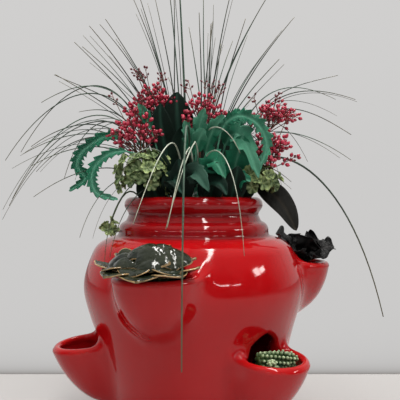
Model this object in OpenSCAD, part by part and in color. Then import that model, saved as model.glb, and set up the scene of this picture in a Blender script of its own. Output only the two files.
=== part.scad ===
// Glazed strawberry jar planter with six side pockets, dressed with artificial plants.
// Millimetres, +Z up, the front is -Y. The origin is on the jar's axis, level with its foot.
// Azimuths turn round the axis from the front (-Y) towards +X.

/* [Jar] */
// Height of the jar, foot to rim
jar_h = 300; // [290:1:315]
// Widest diameter, at the belly
belly_d = 272; // [264:1:284]
// Diameter of the foot
foot_d = 184; // [170:1:196]
// Outside diameter of the rolled rim
rim_d = 173; // [166:1:180]
// Thickness of the thrown wall
wall_t = 9; // [7:0.5:11]
// Thickness of the floor
floor_t = 10; // [8:0.5:14]
// Diameter of the drain hole
drain_d = 16; // [10:1:24]

/* [Neck] */
// Radius of the rolled rim's section
rim_roll = 9; // [7:0.5:10]
// Radius of the lower ring's section
collar_roll = 10; // [8:0.5:11]
// Outside diameter of the lower ring
collar_d = 187; // [180:1:194]
// Height of the neck, lower ring to rim
neck_h = 49; // [46:1:54]

/* [Upper pockets] */
// Azimuth of the front one of the three upper pockets
upper_turn = -16.5; // [-22:0.5:-10]
// Depth of the upper pockets' lips below the neck
upper_lip_drop = 37; // [33:1:43]
// Depth of the upper pockets' centres inside the belly's radius
upper_sink = 5; // [1:1:9]
// Half width of the upper pockets
upper_half_w = 48; // [44:1:50]
// Depth of the upper pockets
upper_depth = 66; // [60:1:70]

/* [Lower pockets] */
// Azimuth of the right one of the three lower pockets
lower_turn = 41.5; // [38:0.5:46]
// Depth of the lower pockets' lips below the neck
lower_lip_drop = 130; // [125:1:135]
// Depth of the lower pockets' centres inside the belly's radius
lower_sink = 6; // [2:1:9]
// Half width of the lower pockets
lower_half_w = 42; // [38:1:44]
// Depth of the lower pockets
lower_depth = 76; // [68:1:80]

/* [Pocket walls] */
// Thickness of the pockets' walls
pocket_t = 7; // [5:0.5:8]
// Radius of the bead round the pockets' lips
lip_roll = 4.2; // [3.6:0.1:4.6]
// Rise of the arch cut through the jar wall above each lip
arch_rise = 30; // [24:1:34]

/* [Foam] */
// Diameter of the foam column that holds the arrangement
foam_d = 122; // [110:1:126]
// Depth of the foam's top below the rim
foam_drop = 18; // [14:1:24]
// Depth that stems are pushed into the foam
stem_in = 14; // [10:1:20]
// Running clearance of foam in the pockets and of picks in their holes
fit_gap = 0.4; // [0.3:0.1:0.8]

/* [Plants] */
// Half thickness of a fine grass blade
blade_r = 0.7; // [0.6:0.05:0.9]
// Half thickness of the stout blades
stout_r = 1.3; // [1.1:0.05:1.6]
// Radius of a berry
berry_r = 2.4; // [2:0.1:2.8]
// Thickness of the cloth leaves
leaf_t = 1.2; // [1:0.1:1.6]
// Diameter of the picks under the succulents
pick_d = 5; // [4:0.2:6]
// Radius of a sedum bead
bead_r = 2.3; // [2:0.1:2.6]

/* [Hidden] */
$fn = 48;

// Jar heights and radii
neck_base_z = jar_h - neck_h;
belly_z = neck_base_z * 0.757;
shoulder_z = neck_base_z * 0.932;
brow_z = neck_base_z * 0.988;
waist_z = neck_base_z * 0.53;
knee_z = neck_base_z * 0.2;
foot_r = foot_d / 2;
belly_r = belly_d / 2;
collar_r = collar_d / 2;
neck_out_r = rim_d / 2 - 6;
neck_in_r = neck_out_r - wall_t;
rim_z = jar_h - rim_roll;
rim_r = rim_d / 2 - rim_roll;
collar_z = neck_base_z + collar_roll * 0.9;
// Points that the side passes through, foot to neck
side_points = [[foot_r, 0], [foot_r * 1.11, knee_z], [belly_r * 0.897, waist_z],
    [belly_r, belly_z], [belly_r * 0.912, shoulder_z], [belly_r * 0.801, brow_z],
    [collar_r + 0.5, neck_base_z + 1.5]];
side_steps = 5; // facets between two of those points

// Pocket azimuths and shapes: [azimuth, reach, lip height, half width, depth, lean, lip tilt]
pocket_pitch = 120;
upper_lean = 12;
lower_lean = 27;
upper_tilt = 2;
lower_tilt = 6;
function upper_pocket(i) = [upper_turn + i * pocket_pitch, belly_r - upper_sink, neck_base_z - upper_lip_drop,
    upper_half_w, upper_depth, upper_lean, upper_tilt];
function lower_pocket(i) = [lower_turn + i * pocket_pitch, belly_r - lower_sink, neck_base_z - lower_lip_drop,
    lower_half_w, lower_depth, lower_lean, lower_tilt];
far = 400; // reach of the cutting blocks
window_w = 0.68; // half width of a window as a share of its pocket's half width

// Foam
foam_r = foam_d / 2;
foam_top = jar_h - foam_drop;
stem_z = -foam_drop - stem_in; // foot of the stems, from the rim
drawn_rim_d = 173; // rim that the sprig over it is drawn on
berry_rise = 12; // height of the berry stalks' first knuckle above the foam
plug_drop = 5; // depth of the upper plugs' tops below their lips
sedum_drop = 9; // depth of the sedum's plug below its lip
sedum_lean = 15; // lean of the sedum's pick away from the jar's belly
pick_in = 22; // depth of the picks' holes
pick_out = 12; // distance of the picks beyond the pockets' centres
rosette_z = 6; // height of the rosettes' middles above their plugs
squeeze = 0.57; // share that leaves lose towards the jar
strand_r = 10.5; // radius of the sedum strand, beads and all
tuft_r = 5.6; // radius of the small sedum tuft

golden = 137.508;
near_zero = 0.01;

// ---------- sums ----------
function lerp(a, b, t) = a + (b - a) * t;
function unit(v) = v / max(norm(v), near_zero / 100);
// A smooth curve through four points, from the second to the third
function catmull(p0, p1, p2, p3, t) = 0.5 * (2 * p1 + (p2 - p0) * t
    + (2 * p0 - 5 * p1 + 4 * p2 - p3) * t * t + (3 * p1 - p0 - 3 * p2 + p3) * t * t * t);
function bezier(p, t) = p[0] * pow(1 - t, 3) + p[1] * 3 * t * pow(1 - t, 2)
    + p[2] * 3 * t * t * (1 - t) + p[3] * pow(t, 3);
function bezier_slope(p, t) = (p[1] - p[0]) * pow(1 - t, 2) + (p[2] - p[1]) * 2 * t * (1 - t)
    + (p[3] - p[2]) * t * t;
// A point at a distance from the axis, an azimuth and a height
function polar(r, turn, z) = [r * sin(turn), -r * cos(turn), z];

// ---------- jar outline ----------
function side_end(i) = side_points[min(max(i, 0), len(side_points) - 1)];
function side_at(i, t) = catmull(side_end(i - 1), side_end(i), side_end(i + 1), side_end(i + 2), t);
side_curve = concat([for (i = [0 : len(side_points) - 2], k = [0 : side_steps - 1])
    side_at(i, k / side_steps)], [side_end(len(side_points) - 1)]);
function side_normal(i) = let (a = side_curve[max(i - 1, 0)],
    b = side_curve[min(i + 1, len(side_curve) - 1)], d = unit(b - a)) [d[1], -d[0]];
inner_curve = [for (i = [0 : len(side_curve) - 1])
    let (p = side_curve[i] - side_normal(i) * wall_t) if (p[1] > floor_t + 3) p];

// Solid of the jar's outside, without its rolls
module jar_outside(grow = 0) {
    rotate_extrude()
        polygon(concat([[0, 0]], [for (p = side_curve) p + [grow, 0]],
            [[neck_out_r, neck_base_z], [neck_out_r, jar_h], [0, jar_h]]));
}

// The turned wall, with floor, neck, collar and rolled rim
module jar_wall() {
    inner_foot = inner_curve[0][0];
    rotate_extrude()
        difference() {
            union() {
                polygon(concat([[0, 0]], side_curve,
                    [[neck_out_r, neck_base_z], [neck_out_r, rim_z], [neck_in_r, rim_z],
                        [neck_in_r, neck_base_z - wall_t / 2]],
                    [for (i = [len(inner_curve) - 1 : -1 : 0]) inner_curve[i]],
                    [[inner_foot - 4, floor_t], [0, floor_t]]));
                translate([rim_r, rim_z])
                    circle(r = rim_roll);
                translate([collar_r - collar_roll, collar_z])
                    circle(r = collar_roll);
            }
            square([drain_d / 2, 3 * floor_t], center = false);
        }
}

// ---------- pockets ----------
// Half profile of a pocket's bowl, an ellipse
function bowl_profile(half_w, depth, steps = 14) = concat([[0, depth * 0.5]],
    [for (i = [0 : steps]) let (a = 30 - 120 * i / steps) [half_w * cos(a), depth * sin(a)]]);

module bowl(p, inset = 0) {
    translate([p[1], 0, p[2]])
        rotate([0, p[5], 0])
            rotate_extrude()
                polygon(bowl_profile(p[3] - inset, p[4] - inset));
}

// Everything above a pocket's lip plane
module above_lip(p, lift = 0) {
    translate([p[1], 0, p[2] + lift])
        rotate([0, p[6], 0])
            translate([-far / 2, -far / 2, 0])
                cube([far, far, far]);
}

// The window that a pocket opens through the jar wall: a pointed arch over a round sill
module window(p) {
    half = p[3] * window_w;
    translate([p[1] - 2 * p[3], 0, p[2]])
        rotate([90, 0, 90])
            linear_extrude(3 * p[3]) {
                intersection() {
                    translate([-half / 3, -half / 3])
                        circle(r = half * 4 / 3);
                    translate([half / 3, -half / 3])
                        circle(r = half * 4 / 3);
                    translate([-half, -half / 3])
                        square([2 * half, half / 3 + arch_rise]);
                }
                translate([0, -half / 3])
                    circle(r = half);
            }
}

// A pressed pocket: bowl, lip and open top, cut to sit against the jar
module pocket(p) {
    rotate([0, 0, p[0] - 90])
        difference() {
            union() {
                difference() {
                    bowl(p);
                    above_lip(p);
                }
                translate([p[1], 0, p[2]])
                    rotate([0, p[6], 0])
                        rotate_extrude()
                            translate([p[3] - lip_roll, 0])
                                circle(r = lip_roll);
            }
            bowl(p, pocket_t);
            jar_outside();
        }
}

module jar_body() {
    color("firebrick")
        difference() {
            jar_wall();
            for (i = [0 : 2], p = [upper_pocket(i), lower_pocket(i)])
                rotate([0, 0, p[0] - 90])
                    window(p);
        }
}

module pocket_upper_front() {
    color("crimson") pocket(upper_pocket(0));
}

module pocket_upper_right() {
    color("crimson") pocket(upper_pocket(1));
}

module pocket_upper_back() {
    color("crimson") pocket(upper_pocket(2));
}

module pocket_lower_right() {
    color("crimson") pocket(lower_pocket(0));
}

module pocket_lower_back() {
    color("crimson") pocket(lower_pocket(1));
}

module pocket_lower_left() {
    color("crimson") pocket(lower_pocket(2));
}

// ---------- foam ----------
// Frame on the foam of a pocket, above the hole for a pick, leaning out by an angle
module on_foam(p, drop, lean = 0) {
    rotate([0, 0, p[0] - 90])
        translate([p[1] + pick_out, 0, p[2] - drop - pick_out * tan(p[6])])
            rotate([0, lean, 0])
                children();
}

// Foam pressed into a pocket up to a level below its lip, with a hole for a pick
module foam_plug(p, drop, lean = 0) {
    color("darkolivegreen")
        difference() {
            rotate([0, 0, p[0] - 90])
                difference() {
                    bowl(p, pocket_t + fit_gap);
                    above_lip(p, -drop);
                    jar_outside(fit_gap);
                }
            on_foam(p, drop, lean)
                translate([0, 0, -pick_in])
                    cylinder(d = pick_d + 2 * fit_gap, h = 2 * pick_in);
        }
}

module foam_plug_front() {
    foam_plug(upper_pocket(0), plug_drop);
}

module foam_plug_right() {
    foam_plug(upper_pocket(1), plug_drop);
}

module foam_plug_sedum() {
    foam_plug(lower_pocket(0), sedum_drop, sedum_lean);
}

module foam_column() {
    color("darkolivegreen")
        translate([0, 0, floor_t])
            cylinder(r = foam_r, h = foam_top - floor_t);
}

// ---------- lofts ----------
// One closed skin over several lofts that have as many rings, and sides, as each other
module lofts(all) {
    n = len(all[0]);
    k = len(all[0][0]);
    polyhedron(
        points = [for (rings = all, ring = rings, p = ring) p],
        faces = [for (i = [0 : len(all) - 1]) each loft_faces(n, k, i * n * k)]);
}
function loft_faces(n, k, s) = concat(
    [[for (j = [k - 1 : -1 : 0]) s + j]],
    [for (i = [0 : n - 2], j = [0 : k - 1])
        each let (a = s + i * k + j, b = s + i * k + (j + 1) % k) [[a, b, a + k], [b, b + k, a + k]]],
    [[for (j = [0 : k - 1]) s + (n - 1) * k + j]]);

// A ring of three corners round a blade
function blade_ring(c, side, up, r) =
    [for (j = [0 : 2]) c + side * r * cos(120 * j) + up * r * sin(120 * j)];
// Rings of a blade along a cubic curve, drawn out to a point
function blade(curve, r, steps = 10) = [for (i = [0 : steps])
    let (t = i / steps, d = unit(bezier_slope(curve, min(max(t, near_zero), 1 - near_zero))),
        side = unit(cross(d, [sin(curve[3][0]), 1, near_zero])), up = cross(side, d))
    blade_ring(bezier(curve, t), side, up, r * lerp(1, 0.3, pow(t, 3)))];

// A ring of four corners across a leaf: two edges, raised by the cup, and the two faces
function leaf_ring(c, side, up, half, cup, thick) =
    [c + side * half + up * half * cup, c + up * thick / 2,
        c - side * half + up * half * cup, c - up * thick / 2];
// Rings of a leaf that faces a direction: a stalk up to share s, then a blade, with teeth or none
function leaf(curve, face, half, cup = 0.2, s = 0.3, tooth = 0, steps = 14, stalk = 1) =
    [for (i = [0 : steps]) let (t = i / steps,
        d = unit(bezier_slope(curve, min(max(t, near_zero), 1 - near_zero))),
        side = unit(cross(d, face)), up = cross(side, d), u = max(0, (t - s) / (1 - s)),
        w = half * pow(sin(180 * pow(u, 0.8)), 0.7) * (1 - tooth * (i % 2)))
    leaf_ring(bezier(curve, t), side, up, max(w, stalk * (1 - 0.7 * t)), w > stalk ? cup : 0,
        leaf_t * (1 - 0.6 * t))];

// Puts the arrangement in the neck: all its heights are measured from the rim
module in_neck() {
    translate([0, 0, jar_h])
        children();
}

// ---------- grass ----------
// The foot of the i-th stem on a spiral about a place in the foam
function foam_spot(i, at = [0, 0]) = [at[0] + 2.9 * sqrt(i + 0.5) * cos(i * golden),
    at[1] + 2.9 * sqrt(i + 0.5) * sin(i * golden), stem_z];
// A blade that stands up and leans out towards its tip
function upright(foot, tip) = [foot, [foot[0], foot[1], lerp(foot[2], tip[2], 0.45)],
    [lerp(foot[0], tip[0], 0.5), lerp(foot[1], tip[1], 0.5), lerp(foot[2], tip[2], 0.75)], tip];
// A blade that climbs to a crown height and bends over: reach is how far out it starts to drop
function arching(foot, tip, crown, reach) = [foot,
    [lerp(foot[0], tip[0], 0.12), lerp(foot[1], tip[1], 0.12), crown],
    [lerp(foot[0], tip[0], reach), lerp(foot[1], tip[1], reach), crown], tip];

// Tips of the upright blades: a fan on the left, one on the right and one behind
left_tips = [[-80, 20, 260], [-66, -30, 245], [-52, 50, 265], [-33, -20, 280], [-27, 45, 290],
    [-118, 0, 217], [-106, 60, 214], [-124, -40, 204], [-144, 20, 194], [-143, -35, 186],
    [-181, 30, 160], [-101, -65, 205]];
right_tips = [[-7, 60, 230], [7, -40, 220], [12, 20, 275], [23, 80, 240], [24, -10, 218],
    [36, 50, 205], [50, -30, 265], [53, 75, 215], [66, 10, 227], [97, -25, 255], [113, 50, 217],
    [125, -10, 223], [100, -60, 160]];
back_tips = [[-40, 150, 180], [30, 165, 150], [-95, 135, 140], [90, 140, 150], [0, 185, 100],
    [-150, 110, 100], [145, 105, 120]];
// Arching blades: [tip, crown height, reach]
left_arches = [[[-237, 0, 46], 170, 0.62], [[-232, 50, 60], 185, 0.6],
    [[-216, -40, -2], 140, 0.62], [[-213, -62, -10], 130, 0.64], [[-157, 65, 116], 120, 0.6],
    [[-183, 32, 160], 125, 0.5], [[-187, -18, 116], 158, 0.6], [[-210, 20, 65], 112, 0.6],
    [[-207, -28, 52], 95, 0.6], [[-218, 75, 35], 102, 0.62], [[-190, -54, 36], 76, 0.6],
    [[-180, -80, 0], 50, 0.6], [[-172, 42, 25], 130, 0.74], [[-125, -95, -45], 45, 0.78]];
right_arches = [[[186, 20, 157], 140, 0.55], [[190, 52, 131], 158, 0.6],
    [[201, -10, 121], 145, 0.6], [[188, -42, 74], 130, 0.5], [[199, 5, 47], 102, 0.55],
    [[160, 95, 50], 130, 0.6], [[117, -40, 18], 52, 0.6], [[120, 140, 0], 120, 0.7]];
front_droops = [[[-24, -200, -30], 95, 0.9], [[-22, -210, -28], 102, 0.93],
    [[-54, -205, -25], 82, 0.92], [[53, -150, -60], 85, 0.85], [[-80, -92, 22], 74, 0.75],
    [[-98, -92, -78], 50, 0.97], [[-92, -93, -67], 36, 0.8], [[52, -100, 48], 100, 0.7]];

module blades(curves, r) {
    color("darkslategray") in_neck() lofts([for (c = curves) blade(c, r)]);
}

module grass_upright_left() {
    blades([for (i = [0 : len(left_tips) - 1]) upright(foam_spot(i, [-17, 4]), left_tips[i])],
        blade_r);
}

module grass_upright_right() {
    blades([for (i = [0 : len(right_tips) - 1]) upright(foam_spot(i, [14, 2]), right_tips[i])],
        blade_r);
}

module grass_upright_back() {
    blades([for (i = [0 : len(back_tips) - 1]) upright(foam_spot(i, [0, 30]), back_tips[i])],
        blade_r);
}

module grass_arching_left() {
    blades([for (i = [0 : len(left_arches) - 1]) let (a = left_arches[i])
        arching(foam_spot(i, [-38, 4]), a[0], a[1], a[2])], blade_r);
}

module grass_arching_right() {
    blades([for (i = [0 : len(right_arches) - 1]) let (a = right_arches[i])
        arching(foam_spot(i, [36, 4]), a[0], a[1], a[2])], blade_r);
}

module grass_drooping_front() {
    blades([for (i = [0 : len(front_droops) - 1]) let (a = front_droops[i])
        arching(foam_spot(i, [-4, -22]), a[0], a[1], a[2])], blade_r);
}

// The thick upright stem and the two stout blades that hang outside the jar
module grass_stout_stem() {
    blades([upright([-9, -8, stem_z], [-20, 0, 300]),
        arching([-3, -12, stem_z], [-9, -207, -162], 132, 1),
        arching([24, -6, stem_z], [230, -30, -145], 92, 0.74)], stout_r);
}

// ---------- berries ----------
module rod(a, b, r) {
    d = b - a;
    translate(a)
        rotate([0, acos(d[2] / norm(d)), atan2(d[1], d[0])])
            cylinder(r = r, h = norm(d));
}

// A stalk with a knee, and twigs that each carry three berries, on alternate sides
module berry_spray(foot, knee, head, spread, twigs) {
    rise = [foot[0], foot[1], berry_rise - foam_drop];
    color("saddlebrown") in_neck() {
        rod([foot[0], foot[1], stem_z], rise, 1.2, $fn = 6);
        rod(rise, knee, 1.1, $fn = 6);
        rod(knee, head, 1, $fn = 6);
        for (joint = [rise, knee, head])
            translate(joint)
                sphere(r = 2.2, $fn = 6);
    }
    for (i = [0 : twigs - 1]) {
        out = sqrt((i + 0.5) / twigs);
        twig = [spread[0] * out * cos(i * golden), spread[1] * out * sin(i * golden),
            spread[2] * (1 - 0.7 * out * out)];
        in_neck() translate(head)
            rotate([0, acos(twig[2] / norm(twig)), atan2(twig[1], twig[0])]) {
                color("saddlebrown") cylinder(r = 0.6, h = norm(twig), $fn = 6);
                color("crimson")
                    for (j = [0 : 2])
                        translate([0, berry_r * (0.9 * (j % 2) - 0.45), norm(twig) - 2.2 * berry_r * j])
                            rotate([90, 0, 0])
                                sphere(r = berry_r);
            }
    }
}

module berries_left_high() {
    berry_spray([-20, -14], [-32, -10, 70], [-52, -8, 112], [24, 18, 42], 8);
}

module berries_left_low() {
    berry_spray([-26, -22], [-44, -24, 40], [-66, -36, 66], [32, 18, 40], 10);
}

module berries_centre() {
    berry_spray([6, -26], [8, -20, 60], [8, -26, 96], [20, 16, 42], 8);
}

module berries_right_high() {
    berry_spray([32, -12], [60, -14, 50], [96, -22, 105], [28, 15, 26], 9);
}

module berries_right_low() {
    berry_spray([40, -20], [62, -30, 22], [92, -40, 42], [30, 17, 42], 9);
}

// ---------- leaves ----------
toward_front = [0, -1, 0];
upward = [0, -0.6, 1];

module teal_leaves_curled() {
    color("seagreen") in_neck() lofts([
        leaf([[-36, -14, stem_z], [-60, -20, 102], [-146, -36, 92], [-150, -44, 6]],
            toward_front, 10, 0.25, 0.42, 0.32, 22),
        leaf([[-32, -24, stem_z], [-56, -34, 92], [-148, -56, 30], [-104, -66, -12]],
            toward_front, 9, 0.15, 0.42, 0.32, 22)]);
}

module teal_leaves_scalloped() {
    color("seagreen") in_neck() lofts([
        leaf([[10, -28, stem_z], [4, -34, 50], [10, -54, 108], [46, -68, 72]],
            [0.2, -1, 0.3], 23, 0.2, 0.42, 0.12),
        leaf([[20, -24, stem_z], [30, -28, 40], [40, -56, 100], [78, -54, 42]],
            [0.3, -1, 0.2], 26, 0.2, 0.42, 0.12),
        leaf([[26, -18, stem_z], [40, -14, 70], [60, -24, 120], [72, -28, 100]],
            toward_front, 20, 0.2, 0.4, 0.12),
        leaf([[18, -34, stem_z], [14, -40, 20], [26, -70, 60], [52, -74, 12]],
            [0.2, -1, 0.2], 20, 0.2, 0.36, 0.12)]);
}

module dark_leaves() {
    color("darkgreen") in_neck() lofts([
        leaf([[-2, -44, stem_z], [-6, -54, 20], [-2, -80, 50], [22, -88, 22]],
            [0, -1, 0.4], 17, 0.3, 0.3),
        leaf([[0, -46, stem_z], [4, -52, 6], [20, -74, 32], [42, -86, 13]],
            [0, -1, 0.5], 14, 0.3, 0.3),
        leaf([[-20, -40, stem_z], [-24, -50, 10], [-30, -72, 40], [-12, -86, 4]],
            [0, -1, 0.4], 14, 0.3, 0.3),
        leaf([[-3, -2, stem_z], [-11, 0, 30], [-17, -4, 100], [-11, -2, 130]],
            toward_front, 22, 0.3, 0.3),
        leaf([[8, 12, stem_z], [20, 16, 30], [30, 22, 80], [34, 32, 112]],
            toward_front, 20, 0.3, 0.3),
        leaf([[-16, 40, stem_z], [-20, 56, 20], [-26, 76, 80], [-32, 110, 72]],
            upward, 22, 0.3, 0.3),
        leaf([[20, 38, stem_z], [26, 54, 20], [44, 80, 70], [60, 112, 66]],
            upward, 22, 0.3, 0.3)]);
}

module brown_leaf() {
    color("black") in_neck() lofts([
        leaf([[45, 20, stem_z], [59, 10, 32], [101, -16, 34], [127, -38, -38]],
            [0.5, -1, 0.2], 14, 0.2, 0.4)]);
}

// ---------- filler ----------
// A tuft of small round leaves on thin stalks over a flattened dome
module filler(foot, over, centre, size, count) {
    leaf_r = 4.6;
    $fn = 5;
    color("yellowgreen") in_neck() {
        rod([foot[0], foot[1], stem_z], over, 1.2);
        translate(over)
            sphere(r = 1.6);
        rod(over, centre, 1);
        for (i = [0 : count - 1]) {
            up = 1 - 1.5 * (i + 0.5) / count;
            flat = sqrt(1 - up * up);
            out = [flat * cos(i * golden), flat * sin(i * golden), up];
            end = centre + [size[0] * out[0], size[1] * out[1], size[2] * out[2]];
            rod(centre, end, 0.7);
            hull() {
                translate(end)
                    rotate([0, acos(up), i * golden])
                        cylinder(r = leaf_r, h = 0.9, center = true, $fn = 7);
                translate(end - out * 1.6)
                    sphere(r = 0.8, $fn = 4);
            }
        }
    }
}

module filler_left() {
    filler([-35, -38], [-39, -42, 16], [-61, -54, 31], [28, 18, 24], 20);
}

module filler_right() {
    filler([44, -28], [52, -30, 12], [97, -36, 14], [21, 16, 12], 12);
}

module filler_sprig() {
    share = rim_d / drawn_rim_d;
    filler([-46, -16] * share, [-80 * share, -34 * share, 30], [-104, -46, -34], [9, 9, 8], 8);
}

// ---------- succulents ----------
// A whorl of leaves, the ones towards the jar shorter and steeper: each is a loft with a foot
module whorl(count, length, half, rise, droop, cup, tooth, turn = 0, steep = 14) {
    for (i = [0 : count - 1]) {
        way = turn + 360 * i / count;
        inward = (1 - cos(way)) / 2;
        size = 1 + 0.1 * sin(i * 97) - squeeze * inward;
        lift = rise + steep * inward;
        rotate([0, 0, way]) {
            lofts([leaf([[1.5, 0, 0], [length * 0.4, 0, lift * 0.4], [length * 0.75 * size, 0, lift],
                [length * size, 0, lift - droop]], [0, 0, 1], half * size, cup, 0.05, tooth, 6, 3)]);
            hull() {
                translate([0.4 + 0.1 * i, 0, 0.15 * i])
                    sphere(r = 2.6, $fn = 5);
                translate([length * 0.2, 0, lift * 0.2])
                    sphere(r = 1.3, $fn = 4);
            }
        }
    }
}

module echeveria_leaves() {
    color("darkkhaki")
        on_foam(upper_pocket(0), plug_drop)
            translate([0, 0, rosette_z]) {
                whorl(6, 52, 22, 9, 2, 0.12, 0, 0);
                translate([0, 0, 2.5])
                    whorl(5, 40, 20, 15, 2, 0.22, 0, 72);
            }
}

module echeveria_heart() {
    color("darkslategray")
        on_foam(upper_pocket(0), plug_drop)
            translate([0, 0, rosette_z + 7]) {
                whorl(4, 34, 22, 22, -2, 0.25, 0, -8, 8);
                hull() {
                    sphere(r = 7, $fn = 9);
                    translate([0, 0, 16])
                        sphere(r = 3, $fn = 7);
                }
                for (i = [0 : 2])
                    rotate([0, 0, 120 * i + 15])
                        hull() {
                            translate([4, 0, 4])
                                sphere(r = 5, $fn = 8);
                            translate([9, 0, 22])
                                sphere(r = 1, $fn = 6);
                        }
            }
}

module pick(p) {
    on_foam(p, plug_drop) {
        translate([0, 0, fit_gap - pick_in])
            cylinder(d = pick_d, h = pick_in + rosette_z - fit_gap);
        translate([0, 0, fit_gap])
            cylinder(d = 3 * pick_d, h = 2);
    }
}

module echeveria_pick() {
    color("darkgreen") pick(upper_pocket(0));
}

module black_rosette() {
    color("black")
        on_foam(upper_pocket(1), plug_drop)
            translate([0, 0, rosette_z]) {
                whorl(7, 46, 15, 14, -2, 0.2, 0.22, 15, 6);
                translate([0, 0, 2])
                    whorl(5, 34, 13, 20, 0, 0.2, 0.22, 43, 6);
                hull() {
                    sphere(r = 6, $fn = 9);
                    translate([0, 0, 18])
                        sphere(r = 3, $fn = 7);
                }
            }
}

module black_pick() {
    color("darkgreen") pick(upper_pocket(1));
}

// Beads in whorls round a stalk that lies along +X
module bead_strand(length, ring_r, pitch, per_ring) {
    rod([-2, 0, 0], [length, 0, 0], ring_r - bead_r * 0.55);
    for (i = [0 : floor(length / pitch)], j = [0 : per_ring - 1]) {
        a = 360 * (j + 0.5 * (i % 2)) / per_ring;
        fade = i * pitch > length - 2 * pitch ? 0.72 : 1;
        translate([i * pitch, ring_r * fade * cos(a), ring_r * fade * sin(a)])
            sphere(r = bead_r);
    }
    translate([length + bead_r * 0.6, 0, 0])
        sphere(r = bead_r);
}

module sedum_strand() {
    color("lightgreen")
        on_foam(lower_pocket(0), sedum_drop, lower_tilt)
            translate([-11, -20, strand_r + fit_gap])
                rotate([0, 0, 72])
                    bead_strand(42, strand_r - bead_r, 4.9, 8);
}

module sedum_tuft() {
    color("yellowgreen")
        on_foam(lower_pocket(0), sedum_drop, lower_tilt)
            translate([8.5, -9, tuft_r + fit_gap])
                rotate([0, -60, -90])
                    bead_strand(9, tuft_r - bead_r, 4.9, 5);
}

module sedum_pick() {
    color("darkgreen")
        on_foam(lower_pocket(0), sedum_drop, sedum_lean)
            translate([0, 0, fit_gap - pick_in])
                cylinder(d = pick_d, h = pick_in + strand_r * 0.7);
}

jar_body();
pocket_upper_front();
pocket_upper_right();
pocket_upper_back();
pocket_lower_right();
pocket_lower_back();
pocket_lower_left();
foam_plug_front();
foam_plug_right();
foam_plug_sedum();
echeveria_leaves();
echeveria_heart();
echeveria_pick();
black_rosette();
black_pick();
sedum_strand();
sedum_tuft();
sedum_pick();
foam_column();
grass_upright_left();
grass_upright_right();
grass_upright_back();
grass_arching_left();
grass_arching_right();
grass_drooping_front();
grass_stout_stem();
berries_left_high();
berries_left_low();
berries_centre();
berries_right_high();
berries_right_low();
teal_leaves_curled();
teal_leaves_scalloped();
dark_leaves();
brown_leaf();
filler_left();
filler_right();
filler_sprig();
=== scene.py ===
"""Visual model of a red-glazed strawberry jar dressed with artificial plants. Lengths here are in mm."""
import math
import random
from collections import namedtuple

import bpy
import numpy as np
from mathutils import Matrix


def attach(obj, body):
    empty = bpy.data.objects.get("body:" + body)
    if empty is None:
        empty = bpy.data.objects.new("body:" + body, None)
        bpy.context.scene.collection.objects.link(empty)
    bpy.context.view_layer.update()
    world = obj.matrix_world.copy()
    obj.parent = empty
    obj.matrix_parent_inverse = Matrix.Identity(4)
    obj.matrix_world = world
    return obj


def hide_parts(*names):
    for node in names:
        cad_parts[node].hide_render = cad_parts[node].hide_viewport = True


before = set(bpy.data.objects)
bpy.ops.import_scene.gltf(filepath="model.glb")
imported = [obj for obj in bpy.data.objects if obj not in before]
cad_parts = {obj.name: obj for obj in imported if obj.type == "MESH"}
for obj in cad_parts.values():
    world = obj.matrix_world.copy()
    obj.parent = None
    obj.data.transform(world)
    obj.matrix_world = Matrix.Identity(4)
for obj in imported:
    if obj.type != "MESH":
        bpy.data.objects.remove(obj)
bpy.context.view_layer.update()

MM = 0.001
GOLDEN = math.radians(137.508)

# ---------- camera: the photograph's viewpoint ----------
SENSOR, LENS = 36, 55.4
VIEW_POINT = (0.008, -0.775, 0.300)  # m
VIEW_DROP = 0.28  # degrees below level


def put(name, data):
    """A new object in the scene."""
    made = bpy.data.objects.new(name, data)
    bpy.context.scene.collection.objects.link(made)
    return made


camera = put("camera", bpy.data.cameras.new("camera"))
camera.data.sensor_width, camera.data.lens = SENSOR, LENS
camera.location = VIEW_POINT
camera.rotation_euler = (math.radians(90 - VIEW_DROP), 0, 0)
bpy.context.scene.camera = camera

# ---------- sizes that the source has too ----------
JAR_H, NECK_Z = 300.0, 251.0
FOOT_R, BELLY_R, COLLAR_R = 92.0, 136.0, 93.5
WALL, FLOOR_T, DRAIN_R = 9.0, 10.0, 8.0
RIM_ROLL, COLLAR_ROLL = 9.0, 10.0
NECK_OUT, NECK_IN = 80.5, 71.5
RIM_RZ = (77.5, 291.0)
COLLAR_RZ = (83.5, 260.0)
RIDGE_RZ, RIDGE_ROLL = (77.4, 272.5), 4.6
POCKET_T, LIP_ROLL, ARCH = 7.0, 4.2, 30.0
FOAM_TOP, STEM_Z, PICK_OUT = 282.0, 268.0, 12.0
Pocket = namedtuple("Pocket", "azimuth reach lip half depth lean tilt")
UPPER = [Pocket(-16.5 + 120 * i, 131.0, 214.0, 48.0, 66.0, 12.0, 2.0) for i in range(3)]
LOWER = [Pocket(41.5 + 120 * i, 130.0, 121.0, 42.0, 76.0, 27.0, 6.0) for i in range(3)]
POCKET_NODES = ["pocket_upper_front", "pocket_upper_right", "pocket_upper_back",
                "pocket_lower_right", "pocket_lower_back", "pocket_lower_left"]
# how widely each form of the jar blends into the wall
COLLAR_BLEND, RIDGE_BLEND, RIM_BLEND, DRAIN_BLEND, WINDOW_BLEND, POCKET_BLEND = 8, 5, 6, 2.5, 5, 18
BOWL_BLEND, CAVITY_BLEND, LIP_BLEND = 2, 1.5, 2.5
# a ball that holds a pocket and its window, in the pocket's frame; how deep a pocket sits in the wall
POCKET_MIDDLE, POCKET_BALL_R, POCKET_ROOT = [20, 0, 25], 105, 4
DRAIN_ZONE, CAVITY_TOP = 40, 60  # below and above these heights a form has no effect
SIDE_STEPS, SLOPE_STEP = 24, 0.4
GRID, QUICK_GRID, GRID_R, GRID_LOW, GRID_HIGH = 2.3, 3.2, 186.0, -6.0, 306.0
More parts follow.
